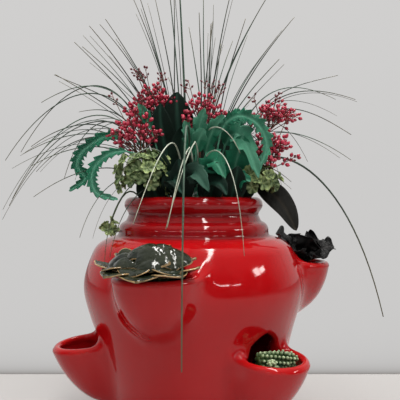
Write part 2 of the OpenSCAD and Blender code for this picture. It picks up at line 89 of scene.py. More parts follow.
# the glaze thins where the surface bends outwards and pools where it bends inwards: from, and over, per mm
THIN_FROM, THIN_OVER, POOL_FROM, POOL_OVER = 0.02, 0.05, 0.006, 0.03
# painted shade inside the jar and on the neck: how dark, and from what height on the neck; then the top of
# the bare foot
INSIDE_PAINTED_SHADE, NECK_PAINTED_SHADE, NECK_PAINTED_SHADE_Z, BARE_FOOT_Z = 0.8, 0.6, 249, 1.6


# ---------- sums ----------
def unit(v):
    v = np.asarray(v, float)
    return v / np.maximum(np.linalg.norm(v, axis=-1, keepdims=True), 1e-9)


def lerp(a, b, t):
    return a + (b - a) * t


def spline(a, b, c, d, k):
    """The point at share k between b and c on a smooth curve through all four."""
    return 0.5 * (2 * b + (c - a) * k + (2 * a - 5 * b + 4 * c - d) * k ** 2
                  + (3 * b - a - 3 * c + d) * k ** 3)


def bezier(curve, t):
    """Points of a cubic with four control points, or of a smooth curve through more points."""
    p = np.asarray(curve, float)
    t = np.atleast_1d(t)[:, None]
    if len(p) > 4:
        p = np.concatenate([[2 * p[0] - p[1]], p, [2 * p[-1] - p[-2]]])
        at = np.clip(t[:, 0], 0, 1) * (len(p) - 3)
        i = np.minimum(at.astype(int), len(p) - 4)
        return spline(p[i], p[i + 1], p[i + 2], p[i + 3], (at - i)[:, None])
    return (p[0] * (1 - t) ** 3 + p[1] * 3 * t * (1 - t) ** 2
            + p[2] * 3 * t * t * (1 - t) + p[3] * t ** 3)


def slope(curve, t):
    t = np.clip(np.atleast_1d(t), 0.01, 0.99)
    return unit(bezier(curve, t + 0.01) - bezier(curve, t - 0.01))


def smooth_min(a, b, k):
    h = np.maximum(k - np.abs(a - b), 0) / k
    return np.minimum(a, b) - h * h * k / 4


def smooth_max(a, b, k):
    return -smooth_min(-a, -b, k)


def turned(points, degrees, axis):
    """Points turned about a main axis by degrees, right-handed."""
    c, s = math.cos(math.radians(degrees)), math.sin(math.radians(degrees))
    i, j = {"x": (1, 2), "y": (2, 0), "z": (0, 1)}[axis]
    out = np.array(points, float)
    out[..., i], out[..., j] = (c * np.asarray(points)[..., i] - s * np.asarray(points)[..., j],
                                s * np.asarray(points)[..., i] + c * np.asarray(points)[..., j])
    return out


# ---------- meshes ----------
class Shape:
    """Gathers vertices, faces and a colour mask per vertex for one piece."""

    def __init__(self):
        self.verts, self.faces, self.masks, self.count = [], [], [], 0

    def add(self, verts, faces, mask=(0, 0, 0)):
        verts = np.asarray(verts, float).reshape(-1, 3)
        mask = np.broadcast_to(np.asarray(mask, float), (len(verts), 3))
        self.verts.append(verts)
        self.masks.append(mask)
        self.faces.extend([tuple(int(i) + self.count for i in f) for f in faces])
        self.count += len(verts)

    def place(self, move):
        """Moves all that is gathered so far by a function of its points."""
        self.verts = [move(np.concatenate(self.verts))]
        self.masks = [np.concatenate(self.masks)]

    def build(self, name, body, material, slot, *nodes):
        mesh = bpy.data.meshes.new(name)
        verts = np.concatenate(self.verts) * MM
        mesh.from_pydata(verts.tolist(), [], self.faces)
        mesh.update()
        masks = np.concatenate(self.masks)
        layer = mesh.color_attributes.new("mask", "FLOAT_COLOR", "POINT")
        layer.data.foreach_set("color", np.c_[masks, np.ones(len(masks))].ravel())
        mesh.polygons.foreach_set("use_smooth", [True] * len(mesh.polygons))
        mesh.materials.append(material)
        piece = put(name, mesh)
        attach(piece, body)
        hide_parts(*nodes)


def sleeve_faces(rows, cols):
    """Quads round a sleeve of rings, ring after ring, and a face on each end."""
    quads = [((i + 1) * cols + j, (i + 1) * cols + (j + 1) % cols, i * cols + (j + 1) % cols, i * cols + j)
             for i in range(rows - 1) for j in range(cols)]
    return quads + [tuple(range(cols)), tuple(range(rows * cols - 1, (rows - 1) * cols - 1, -1))]


def tube(path, radius, sides=6, flat=1.0, spin=0.0):
    """Vertices and faces of a closed tube along a path."""
    path = np.asarray(path, float)
    n = len(path)
    radius = np.broadcast_to(np.asarray(radius, float), (n,))
    ahead = unit(np.gradient(path, axis=0))
    side = np.zeros((n, 3))
    side[0] = unit(np.cross(ahead[0], [0.31, 0.92, 0.24]))
    for i in range(1, n):
        side[i] = unit(side[i - 1] - ahead[i] * np.dot(side[i - 1], ahead[i]))
    up = np.cross(ahead, side)
    a = np.arange(sides) * 2 * math.pi / sides + spin
    ring = (side[:, None] * np.cos(a)[None, :, None]
            + up[:, None] * (flat * np.sin(a))[None, :, None]) * radius[:, None, None]
    return (path[:, None] + ring).reshape(-1, 3), sleeve_faces(n, sides)


def leaf(curve, face, width, thick=0.7, cup=0.2, rib=0.0, ripple=(0, 0), steps=30, across=8,
         stalk=(0.3, 1.0), swell=0.0, keen=0.0):
    """A leaf along a curve that faces a direction. width(u, side) is its half width, u from base to tip.
    The mask's channels are how near a point is to the rib, how near to the edge, and u."""
    s, stalk_r = stalk
    t = np.r_[np.linspace(0, s, 6)[:-1], np.linspace(s, 1, steps + 1)]
    u = np.clip((t - s) / (1 - s), 0, 1)
    centre, ahead = bezier(curve, t), slope(curve, t)
    side = unit(np.cross(ahead, np.asarray(face, float)))
    up = np.cross(side, ahead)
    v = np.linspace(-1, 1, across + 1)
    left, right = (np.array([max(width(x, way), stalk_r * (1 - 0.5 * x)) for x in u]) for way in (-1, 1))
    half = np.where(v[None] < 0, left[:, None], right[:, None])
    wide = np.maximum(left, right)
    open_up = np.clip((wide - stalk_r) / (3 * stalk_r), 0, 1)[:, None]
    lift = open_up * (cup * half * np.abs(v) ** 1.5
                      - rib * np.exp(-(v * half / 1.6) ** 2)
                      + ripple[0] * np.abs(v) ** 2 * np.sin(ripple[1] * u[:, None] * 6.28
                                                           + np.sign(v) * 0.9))
    mid = (centre[:, None] + side[:, None] * (half * v)[..., None] + up[:, None] * lift[..., None])
    plump = np.sqrt(np.clip(1 - v * v, 0, 1))
    body = thick * (1 - 0.55 * u[:, None]) / 2 * (1 + swell * plump) * (1 - keen * (1 - plump))
    top, low = mid + up[:, None] * body[..., None], mid - up[:, None] * body[..., None]
    rows, cols = mid.shape[:2]
    verts = np.concatenate([top, low[:, ::-1]], axis=1).reshape(-1, 3)
    near_rib = np.exp(-(v * half / 1.4) ** 2) * np.ones_like(half)
    near_edge = np.clip(1 - (1 - np.abs(v)) * half / 1.6, 0, 1)
    mask = np.stack([near_rib, near_edge, u[:, None] * np.ones_like(half)], axis=-1)
    mask = np.concatenate([mask, mask[:, ::-1]], axis=1).reshape(-1, 3)
    return verts, sleeve_faces(rows, 2 * cols), mask


def ball(centre, r, along=(0, 0, 1), stretch=1.0, sides=8, rings=6, tip=0.0):
    """A berry or bead: an egg along a direction, with a point at its tip."""
    along = unit(along)
    x = unit(np.cross(along, [0.3, 0.8, 0.5]))
    y = np.cross(along, x)
    verts = [np.asarray(centre) - along * r * stretch]
    for i in range(1, rings):
        a = math.pi * i / rings
        ring_r, h = r * math.sin(a), -math.cos(a) * r * stretch
        for j in range(sides):
            b = 2 * math.pi * j / sides
            verts.append(centre + along * h + (x * math.cos(b) + y * math.sin(b)) * ring_r)
    verts.append(np.asarray(centre) + along * r * (stretch + tip))
    last = len(verts) - 1
    faces = [(0, 1 + (j + 1) % sides, 1 + j) for j in range(sides)]
    for i in range(rings - 2):
        for j in range(sides):
            a, b = 1 + i * sides + j, 1 + i * sides + (j + 1) % sides
            faces.append((a, b, b + sides, a + sides))
    faces += [(last - sides + j, last - sides + (j + 1) % sides, last) for j in range(sides)]
    return np.array(verts), faces


# ---------- materials ----------
def linear(rgb):
    """Linear values of an sRGB colour in 0-255."""
    out = []
    for c in rgb:
        c = c / 255
        out.append(c / 12.92 if c <= 0.04045 else ((c + 0.055) / 1.055) ** 2.4)
    return (*out, 1.0)


class Nodes:
    """Short ways to add nodes to a tree. What feeds a socket is a value or another node's socket."""

    def __init__(self, tree, coords):
        self.tree = tree
        self.coords = self.node("ShaderNodeTexCoord").outputs[coords]

    def feed(self, socket, value):
        if isinstance(value, bpy.types.NodeSocket):
            self.tree.links.new(value, socket)
        else:
            socket.default_value = value

    def node(self, kind, sockets=None, **settings):
        node = self.tree.nodes.new(kind)
        for key, value in settings.items():
            setattr(node, key, value)
        for key, value in (sockets or {}).items():
            self.feed(node.inputs[key], value)
        return node

    def sum(self, operation, a, b):
        return self.node("ShaderNodeMath", {0: a, 1: b}, operation=operation).outputs[0]

    def times(self, a, b):
        return self.sum("MULTIPLY", a, b)

    def noise(self, scale, detail=3.0, rough=0.5, stretch=None):
        where = self.coords
        if stretch:
            where = self.node("ShaderNodeMapping", {"Vector": where, "Scale": stretch}).outputs["Vector"]
        return self.node("ShaderNodeTexNoise", {"Scale": scale, "Detail": detail, "Roughness": rough,
                                                "Vector": where}).outputs["Fac"]

    def ramp(self, source, low, high, a=0.0, b=1.0, **settings):
        """Maps source from low..high to a..b, and no further."""
        return self.node("ShaderNodeMapRange", {"Value": source, "From Min": low, "From Max": high,
                                                "To Min": a, "To Max": b}, **settings).outputs["Result"]

    def colour(self, factor, a, b):
        """Mixes a and b by factor: sRGB triples, linear values with alpha, or sockets."""
        a, b = (linear(c) if isinstance(c, tuple) and len(c) == 3 else c for c in (a, b))
        return self.node("ShaderNodeMix", {0: factor, 6: a, 7: b}, data_type="RGBA").outputs[2]


class Paint(Nodes):
    """A material with a noise-mottled base, masks read from the mesh, and bumps."""

    def __init__(self, name, rough=0.5, **sockets):
        self.material = bpy.data.materials.new(name)
        self.material.use_nodes = True
        super().__init__(self.material.node_tree, "Object")
        self.shader = self.tree.nodes["Principled BSDF"]
        self.shader.inputs["Roughness"].default_value = rough
        for key, value in sockets.items():
            self.shader.inputs[key.replace("_", " ")].default_value = value
        self.normal = None

    def waves(self, scale, distort, direction):
        return self.node("ShaderNodeTexWave", {"Scale": scale, "Distortion": distort, "Detail": 2.0,
                                               "Vector": self.coords},
                         bands_direction=direction).outputs["Fac"]

    def mask(self, channel):
        """The mesh's own mask, channel 0 to 2."""
        masks = self.node("ShaderNodeAttribute", attribute_name="mask").outputs["Color"]
        return self.node("ShaderNodeSeparateColor", {"Color": masks}).outputs[channel]

    def bump(self, height, distance, strength=1.0):
        node = self.node("ShaderNodeBump", {"Height": height, "Distance": distance, "Strength": strength})
        if self.normal is not None:
            self.feed(node.inputs["Normal"], self.normal)
        self.normal = node.outputs["Normal"]
        self.feed(self.shader.inputs["Normal"], self.normal)

    def base(self, colour):
        self.feed(self.shader.inputs["Base Color"], colour)

    def roughness(self, value):
        self.feed(self.shader.inputs["Roughness"], value)


def glaze_paint():
    """Mask: thin on edges; pooled in creases, with painted shade inside the jar and on the neck; bare clay
    under the foot.
    """
    p = Paint("red_glaze", 0.07, IOR=1.44)
    mottle = p.ramp(p.noise(9, 4, 0.55), 0.35, 0.65)
    base = p.colour(mottle, (158, 9, 13), (167, 12, 17))
    base = p.colour(p.ramp(p.noise(160, 2), 0.66, 0.78, 0.0, 0.22), base, (120, 8, 12))
    thin = p.times(p.mask(0), p.ramp(p.noise(55, 3), 0.3, 0.7, 0.1, 0.5))
    base = p.colour(thin, base, (196, 52, 40))
    # pooled glaze in creases, and painted shade inside the jar and on the neck
    base = p.colour(p.mask(1), base, (106, 5, 9))
    clay = p.colour(p.ramp(p.noise(240, 4), 0.3, 0.7), (150, 92, 66), (172, 112, 84))
    p.base(p.colour(p.mask(2), base, clay))
    p.roughness(p.ramp(p.mask(2), 0, 1, 0.07, 0.85))
    p.bump(p.noise(14, 1.5), 0.0008, 0.6)
    p.bump(p.noise(42, 1.5), 0.0005, 0.5)
    p.bump(p.noise(90, 2), 0.00012, 0.6)
    p.bump(p.noise(420, 2), 0.00003, 0.5)
    return p.material


def foam_paint():
    p = Paint("foam", 0.95)
    pores = p.node("ShaderNodeTexVoronoi", {"Scale": 850, "Vector": p.coords}).outputs["Distance"]
    base = p.colour(p.ramp(p.noise(60, 3), 0.3, 0.7), (44, 60, 34), (62, 78, 44))
    # painted shade: the pores are darker than the foam around them
    p.base(p.colour(p.ramp(pores, 0.0, 0.35), (22, 30, 18), base))
    p.bump(p.ramp(pores, 0.0, 0.5), 0.0009, 0.9)
    return p.material


def grass_paint():
    p = Paint("grass", 0.42, Specular_IOR_Level=0.4)
    dark = p.colour(p.ramp(p.noise(40, 3), 0.35, 0.65), (26, 26, 20), (38, 44, 34))
    green = p.colour(p.ramp(p.noise(70, 3), 0.35, 0.65), (44, 66, 54), (66, 92, 74))
    pale = p.colour(p.ramp(p.noise(90, 3), 0.35, 0.65), (150, 160, 142), (196, 200, 184))
    tone = p.mask(0)
    body = p.colour(p.ramp(tone, 0.0, 0.5), dark, green)
    body = p.colour(p.ramp(tone, 0.5, 1.0), body, pale)
    p.base(p.colour(p.ramp(p.mask(1), 0.75, 1.0, 0.0, 0.6), body, (104, 92, 62)))
    p.bump(p.noise(500, 2, stretch=(1, 1, 0.08)), 0.0003, 0.6)
    return p.material


def berry_paint():
    """Mask: 0 berry to 1 twig; darkness; blush towards the tip."""
    p = Paint("berries", 0.30, Coat_Weight=0.25, Coat_Roughness=0.12)
    skin = p.colour(p.ramp(p.noise(300, 3), 0.35, 0.65), (158, 18, 46), (186, 34, 66))
    skin = p.colour(p.times(p.mask(2), 0.75), skin, (208, 92, 108))
    skin = p.colour(p.mask(1), skin, (58, 22, 26))
    twig = p.colour(p.ramp(p.noise(400, 3, stretch=(1, 1, 0.2)), 0.35, 0.65), (70, 44, 30), (104, 62, 44))
    p.base(p.colour(p.mask(0), skin, twig))
    p.roughness(p.ramp(p.mask(0), 0, 1, 0.30, 0.75))
    p.bump(p.noise(900, 2), 0.0002, 0.5)
    return p.material


def leaf_paint(name, dark, light, vein, rough, weave=0.5, edge=None, shine=0.5, tip=None):
    """Mask: rib, edge, share of the length."""
    p = Paint(name, rough, Specular_IOR_Level=shine)
    base = p.colour(p.ramp(p.noise(28, 4, 0.6), 0.32, 0.68), dark, light)
    base = p.colour(p.ramp(p.noise(200, 3), 0.4, 0.75, 0.0, 0.35), base, dark)
    if tip:
        base = p.colour(p.ramp(p.mask(2), 0.3, 1.0, 0.0, 0.85), base, tip)
    if vein:
        base = p.colour(p.times(p.mask(0), 0.7), base, vein)
    if edge:
        edge_mask = p.times(p.ramp(p.mask(1), 0.25, 0.8), p.ramp(p.noise(120, 3), 0.3, 0.6, 0.3, 1.0))
        base = p.colour(edge_mask, base, edge)
    p.base(base)
    if edge:
        p.bump(p.noise(75, 2), 0.005, 0.6)
    if weave:
        p.bump(p.waves(1500, 0.3, "X"), 0.00012, weave)
        p.bump(p.waves(1500, 0.3, "Z"), 0.00012, weave)
    p.bump(p.noise(160, 3), 0.0008, 0.5)
    return p.material


def pick_paint():
    p = Paint("pick_plastic", 0.38)
    p.base(p.colour(p.ramp(p.noise(50, 3), 0.3, 0.7), (20, 58, 34), (32, 78, 46)))
    p.bump(p.waves(500, 0.2, "Z"), 0.0004, 0.6)
    p.bump(p.noise(700, 2), 0.0001, 0.5)
    return p.material


GLAZE = glaze_paint()
FOAM = foam_paint()
GRASS = grass_paint()
BERRY = berry_paint()
TEAL = leaf_paint("leaf_teal", (4, 76, 54), (16, 116, 82), (96, 160, 132), 0.45, 0.6,
                  tip=(88, 156, 126), shine=0.4)
DARK = leaf_paint("leaf_dark_green", (5, 22, 15), (10, 36, 26), (40, 76, 62), 0.5, 0.4, tip=(66, 108, 90),
                  shine=0.2)
BROWN = leaf_paint("leaf_brown", (9, 9, 6), (18, 16, 11), (40, 34, 24), 0.5, 0.3, shine=0.2)
FILLER = leaf_paint("filler_green", (38, 58, 30), (72, 96, 50), (150, 166, 120), 0.55, 0.3,
                    tip=(172, 188, 118), shine=0.3)
ECHEVERIA = leaf_paint("echeveria_green", (6, 16, 10), (50, 54, 38), None, 0.1, 0.0,
                       edge=(188, 154, 108), shine=0.5)
ROSETTE = leaf_paint("rosette_black", (5, 5, 6), (14, 13, 13), (30, 27, 27), 0.42, 0.25, shine=0.2)
SEDUM = leaf_paint("sedum_green", (44, 66, 34), (78, 106, 56), None, 0.38, 0.0, tip=(192, 208, 164))
PICK = pick_paint()


# ---------- the glazed jar ----------
def side_curve():
    """The jar's side, foot to neck, through the same points as in the source."""
    points = [(FOOT_R, 0), (FOOT_R * 1.11, NECK_Z * 0.2), (BELLY_R * 0.897, NECK_Z * 0.53),
              (BELLY_R, NECK_Z * 0.757), (BELLY_R * 0.912, NECK_Z * 0.932),
              (BELLY_R * 0.801, NECK_Z * 0.988), (COLLAR_R + 0.5, NECK_Z + 1.5)]
    p = np.array([points[0], *points, points[-1]], float)
    return np.array([spline(*p[i:i + 4], k / SIDE_STEPS) for i in range(len(points) - 1)
                     for k in range(SIDE_STEPS)] + [points[-1]])


def outline_distance(outline, r, z):
    """Signed distance to a closed outline, negative inside."""
    a = np.asarray(outline, float)
    best, inside = np.full(r.shape, 1e9), np.zeros(r.shape, bool)
    for (ar, az), (br, bz) in zip(a, np.roll(a, -1, axis=0)):
        er, ez = br - ar, bz - az
        t = np.clip(((r - ar) * er + (z - az) * ez) / max(er * er + ez * ez, 1e-12), 0, 1)
        best = np.minimum(best, (r - ar - t * er) ** 2 + (z - az - t * ez) ** 2)
        if abs(ez) > 1e-9:
            inside ^= ((az > z) != (bz > z)) & (r < er * (z - az) / ez + ar)
    return np.where(inside, -1, 1) * np.sqrt(best)


class Table:
    """Distances kept on a grid over radius and height."""
    STEP, R0, Z0 = 0.75, -6.0, -14.0

    def __init__(self, outline):
        self.r = np.arange(self.R0, 212, self.STEP)
        self.z = np.arange(self.Z0, 316, self.STEP)
        self.values = outline_distance(outline, *np.meshgrid(self.r, self.z, indexing="ij"))

    def __call__(self, r, z):
        fr = np.clip((r - self.R0) / self.STEP, 0, len(self.r) - 1.001)
        fz = np.clip((z - self.Z0) / self.STEP, 0, len(self.z) - 1.001)
        i, j = fr.astype(int), fz.astype(int)
        a, b = fr - i, fz - j
        v = self.values
        return ((v[i, j] * (1 - a) + v[i + 1, j] * a) * (1 - b)
                + (v[i, j + 1] * (1 - a) + v[i + 1, j + 1] * a) * b)


SIDE = side_curve()


def jar_tables():
    ahead = unit(np.gradient(SIDE, axis=0))
    inner = SIDE - np.c_[ahead[:, 1], -ahead[:, 0]] * WALL
    inner = inner[(inner[:, 1] > FLOOR_T + 3) & (inner[:, 1] < NECK_Z - WALL / 2)]
    wall = [(-6, 0), *SIDE, (NECK_OUT, NECK_Z), (NECK_OUT, RIM_RZ[1]), (NECK_IN, RIM_RZ[1]),
            (NECK_IN, NECK_Z - WALL / 2), *inner[::-1], (inner[0][0] - 6, FLOOR_T), (-6, FLOOR_T)]
    filled = [(-6, -9), (FOOT_R, -9), *SIDE, (NECK_OUT, NECK_Z), (NECK_OUT, JAR_H), (-6, JAR_H)]
    return Table(wall), Table(filled)


WALL_TABLE, FILLED_TABLE = jar_tables()


def in_pocket(points, pocket):
    """Points in a pocket's frame: +X outwards from its centre, +Z up."""
    return turned(points, 90 - pocket.azimuth, "z") - np.array([pocket.reach, 0, pocket.lip])


def bowl_distance(local, pocket, inset):
    axes = np.array([pocket.half, pocket.half, pocket.depth]) - inset
    q = turned(local, -pocket.lean, "y")
    k0, k1 = np.linalg.norm(q / axes, axis=1), np.linalg.norm(q / axes ** 2, axis=1)
    return k0 * (k0 - 1) / np.maximum(k1, 1e-6)


def window_distance(local, pocket):
    """The pointed arch over a round sill, as a prism towards the axis."""
    half = pocket.half * 0.68
    y, z = np.abs(local[:, 1]), local[:, 2]
    arch = np.maximum(np.hypot(y + half / 3, z + half / 3) - half * 4 / 3, z - ARCH)
    arch = np.maximum(arch, -half / 3 - z)
    sill = np.hypot(y, z + half / 3) - half
    shape = np.where(z > -half / 3, np.minimum(arch, sill), sill)
    return np.maximum(shape, -local[:, 0] - 2 * pocket.half)


def jar_distance(points):
    """Signed distance to the whole glazed jar, wall, rolls, windows and pockets."""
    r, z = np.hypot(points[:, 0], points[:, 1]), points[:, 2]
    out = WALL_TABLE(r, z)
    out = smooth_min(out, np.hypot(r - COLLAR_RZ[0], z - COLLAR_RZ[1]) - COLLAR_ROLL, COLLAR_BLEND)
    out = smooth_min(out, np.hypot(r - RIDGE_RZ[0], z - RIDGE_RZ[1]) - RIDGE_ROLL, RIDGE_BLEND)
    out = smooth_min(out, np.hypot(r - RIM_RZ[0], z - RIM_RZ[1]) - RIM_ROLL, RIM_BLEND)
    out = np.where(z < DRAIN_ZONE, smooth_max(out, DRAIN_R - r, DRAIN_BLEND), out)
    filled = FILLED_TABLE(r, z)
    for pocket in UPPER + LOWER:
        local = in_pocket(points, pocket)
        near = np.linalg.norm(local + POCKET_MIDDLE, axis=1) < POCKET_BALL_R
        if not near.any():
            continue
        q, own, inside = local[near], out[near], filled[near]
        own = smooth_max(own, -window_distance(q, pocket), WINDOW_BLEND)
        tilted = turned(q, -pocket.tilt, "y")
        shell = smooth_max(bowl_distance(q, pocket, 0), tilted[:, 2], BOWL_BLEND)
        lip = np.hypot(np.hypot(tilted[:, 0], tilted[:, 1]) - (pocket.half - LIP_ROLL),
                       tilted[:, 2]) - LIP_ROLL
        cavity = np.maximum(bowl_distance(q, pocket, POCKET_T), tilted[:, 2] - CAVITY_TOP)
        shell = smooth_min(smooth_max(shell, -cavity, CAVITY_BLEND), lip, LIP_BLEND)
        out[near] = smooth_min(own, np.maximum(shell, -(inside + POCKET_ROOT)), POCKET_BLEND)
    return out


def surface_net(field, low, step):
    """Vertices and outward quads of the zero surface of a grid of distances."""
    inside = field < 0
    shape = [n - 1 for n in field.shape]
    total = np.zeros(shape, np.uint8)
    for i in (0, 1):
        for j in (0, 1):
            for k in (0, 1):
                total += inside[i:i + shape[0], j:j + shape[1], k:k + shape[2]]
    active = (total > 0) & (total < 8)
    cells = np.argwhere(active)
    index = np.full(shape, -1, np.int64)
    index[active] = np.arange(len(cells))
    places, hits = np.zeros((len(cells), 3)), np.zeros(len(cells))
    for axis in range(3):
        for o in range(4):
            start = np.zeros(3, int)
            start[[a for a in range(3) if a != axis]] = (o & 1, o >> 1)
            end = start.copy()
            end[axis] += 1
            a = field[tuple((cells + start).T)]
            b = field[tuple((cells + end).T)]
            cross = (a < 0) != (b < 0)
            t = np.where(cross, a / np.where(cross, a - b, 1), 0)
            place = start + t[:, None] * (end - start)
            places += np.where(cross[:, None], place, 0)
            hits += cross
    verts = low + (cells + places / hits[:, None]) * step
    faces = []
    for axis in range(3):
        u, v = [a for a in range(3) if a != axis]
        here = np.take(inside, range(field.shape[axis] - 1), axis)
        there = np.take(inside, range(1, field.shape[axis]), axis)
        edges = np.argwhere(here != there)
        edges = edges[(edges[:, u] > 0) & (edges[:, v] > 0)]
        outward = here[tuple(edges.T)]
        ring = []
        for du, dv in ((1, 1), (0, 1), (0, 0), (1, 0)):
            cell = edges.copy()
            cell[:, u] -= du
            cell[:, v] -= dv
            ring.append(index[tuple(cell.T)])
        quads = np.stack(ring, axis=1)
        flip = outward if axis != 1 else ~outward
        faces.append(np.where(flip[:, None], quads, quads[:, ::-1]))
    return verts, np.concatenate(faces)


def gradient(distance, points):
    out = np.zeros_like(points)
    for a in range(3):
        shift = np.zeros(3)
        shift[a] = SLOPE_STEP
        out[:, a] = (distance(points + shift) - distance(points - shift)) / (2 * SLOPE_STEP)
    return out


def build_jar():
    step = GRID
    low = np.array([-GRID_R, -GRID_R, GRID_LOW])
    count = [int(size / step) + 2 for size in (2 * GRID_R, 2 * GRID_R, GRID_HIGH - GRID_LOW)]
    axes = [low[a] + np.arange(count[a]) * step for a in range(3)]
    field = np.empty(count)
    for i, x in enumerate(axes[0]):
        y, z = np.meshgrid(axes[1], axes[2], indexing="ij")
        field[i] = jar_distance(np.c_[np.full(y.size, x), y.ravel(), z.ravel()]).reshape(y.shape)
    verts, quads = surface_net(field, low, step)
    pairs = np.concatenate([quads[:, [i, (i + 1) % 4]] for i in range(4)])
    pairs = np.unique(np.sort(pairs, axis=1), axis=0)
    valence = np.bincount(pairs.ravel(), minlength=len(verts))[:, None]

    def averaged(values):
        out = np.zeros_like(values)
        for a in range(values.shape[1]):
            out[:, a] = (np.bincount(pairs[:, 0], values[pairs[:, 1], a], len(verts))
                         + np.bincount(pairs[:, 1], values[pairs[:, 0], a], len(verts)))
        return out / np.maximum(valence, 1)

    for turn in range(4):
        if turn:
            verts = verts + 0.5 * (averaged(verts) - verts)
        slopes = gradient(jar_distance, verts)
        off = jar_distance(verts)[:, None] * slopes / np.maximum((slopes ** 2).sum(1), 0.3)[:, None]
        verts = verts - np.clip(off, -step / 2, step / 2)
    normals = unit(gradient(jar_distance, verts))
    bend = ((verts - averaged(verts)) * normals).sum(1)[:, None] / step ** 2
    for _ in range(6):
        bend = 0.5 * bend + 0.5 * averaged(bend)
    r = np.hypot(verts[:, 0], verts[:, 1])
    # the glaze: thin on edges and pooled in creases, darkened as painted shade inside the jar and on the
    # neck, none under the foot
    thin = np.clip((bend[:, 0] - THIN_FROM) / THIN_OVER, 0, 1)
    pooled = np.clip((-bend[:, 0] - POOL_FROM) / POOL_OVER, 0, 1)
    # painted shade: darker glaze inside the jar
    inside_shade = np.clip(-(FILLED_TABLE(r, verts[:, 2]) + 3.5) / 3, 0, 1) * (verts[:, 2] < 270)
    under = np.clip(1 - verts[:, 2] / BARE_FOOT_Z, 0, 1) * (normals[:, 2] < -0.6)
    # painted shade: darker glaze on the neck, where the plants above shade it
    neck = NECK_PAINTED_SHADE * np.clip((verts[:, 2] - NECK_PAINTED_SHADE_Z) / 8, 0, 1)
    mask = np.c_[thin, np.clip(pooled + INSIDE_PAINTED_SHADE * inside_shade + neck, 0, 1), under]
    jar = Shape()
    jar.verts, jar.masks, jar.count = [verts], [mask], len(verts)
    jar.faces = quads.tolist()
    jar.build("glazed_jar", "jar", GLAZE, "red_glaze", "jar_body", *POCKET_NODES)


build_jar()

# ---------- foam and picks: the source's own solids with a material ----------
for name, paint in (("foam_column", FOAM), ("foam_plug_front", FOAM), ("foam_plug_right", FOAM),
                    ("foam_plug_sedum", FOAM), ("echeveria_pick", PICK), ("black_pick", PICK),
                    ("sedum_pick", PICK)):
    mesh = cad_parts[name].data
    mesh.materials.clear()
    mesh.materials.append(paint)


# ---------- grass ----------
def foam_spot(i, at):
    r = 2.9 * math.sqrt(i + 0.5)
    return np.array([at[0] + r * math.cos(i * GOLDEN), at[1] + r * math.sin(i * GOLDEN), STEM_Z])


def upright(foot, tip):
    return [foot, [foot[0], foot[1], lerp(foot[2], tip[2], 0.45)],
            [lerp(foot[0], tip[0], 0.5), lerp(foot[1], tip[1], 0.5), lerp(foot[2], tip[2], 0.75)],
            tip]


def arching(foot, tip, crown, reach):
    return [foot, [lerp(foot[0], tip[0], 0.12), lerp(foot[1], tip[1], 0.12), crown],
            [lerp(foot[0], tip[0], reach), lerp(foot[1], tip[1], reach), crown], tip]


LEFT_TIPS = [[-80, 20, 560], [-66, -30, 545], [-52, 50, 565], [-33, -20, 580], [-27, 45, 590],
             [-118, 0, 517], [-106, 60, 514], [-124, -40, 504], [-144, 20, 494], [-143, -35, 486],
             [-181, 30, 460], [-101, -65, 505]]
RIGHT_TIPS = [[-7, 60, 530], [7, -40, 520], [12, 20, 575], [23, 80, 540], [24, -10, 518],
              [36, 50, 505], [50, -30, 565], [53, 75, 515], [66, 10, 527], [97, -25, 555],
              [113, 50, 517], [125, -10, 523], [100, -60, 460]]
BACK_TIPS = [[-40, 150, 480], [30, 165, 450], [-95, 135, 440], [90, 140, 450], [0, 185, 400],
             [-150, 110, 400], [145, 105, 420]]
LEFT_ARCHES = [[[-237, 0, 346], 470, 0.62], [[-232, 50, 360], 485, 0.6], [[-216, -40, 298], 440, 0.62],
               [[-213, -62, 290], 430, 0.64], [[-157, 65, 416], 420, 0.6], [[-183, 32, 460], 425, 0.5],
               [[-187, -18, 416], 458, 0.6], [[-210, 20, 365], 412, 0.6], [[-207, -28, 352], 395, 0.6],
               [[-218, 75, 335], 402, 0.62], [[-190, -54, 336], 376, 0.6], [[-180, -80, 300], 350, 0.6],
               [[-172, 42, 325], 430, 0.74], [[-125, -95, 255], 345, 0.78]]
RIGHT_ARCHES = [[[186, 20, 457], 440, 0.55], [[190, 52, 431], 458, 0.6], [[201, -10, 421], 445, 0.6],
                [[188, -42, 374], 430, 0.5], [[199, 5, 347], 402, 0.55], [[160, 95, 350], 430, 0.6],
                [[117, -40, 318], 352, 0.6], [[120, 140, 300], 420, 0.7]]
STRAIGHT_DROOPS = [[[2, -24, STEM_Z], [8, -40, 380], [9, -110, 402], [-24, -200, 270]],
                   [[-2, -26, STEM_Z], [3, -44, 370], [-1, -110, 394], [-22, -210, 272]],
                   [[-9, -28, STEM_Z], [-14, -44, 380], [-20, -110, 398], [-54, -205, 275]]]
FRONT_DROOPS = [[[53, -150, 240], 385, 0.85], [[-80, -92, 322], 374, 0.75], [[-98, -92, 222], 350, 0.97],
                [[-92, -93, 233], 336, 0.8], [[52, -100, 348], 400, 0.7]]


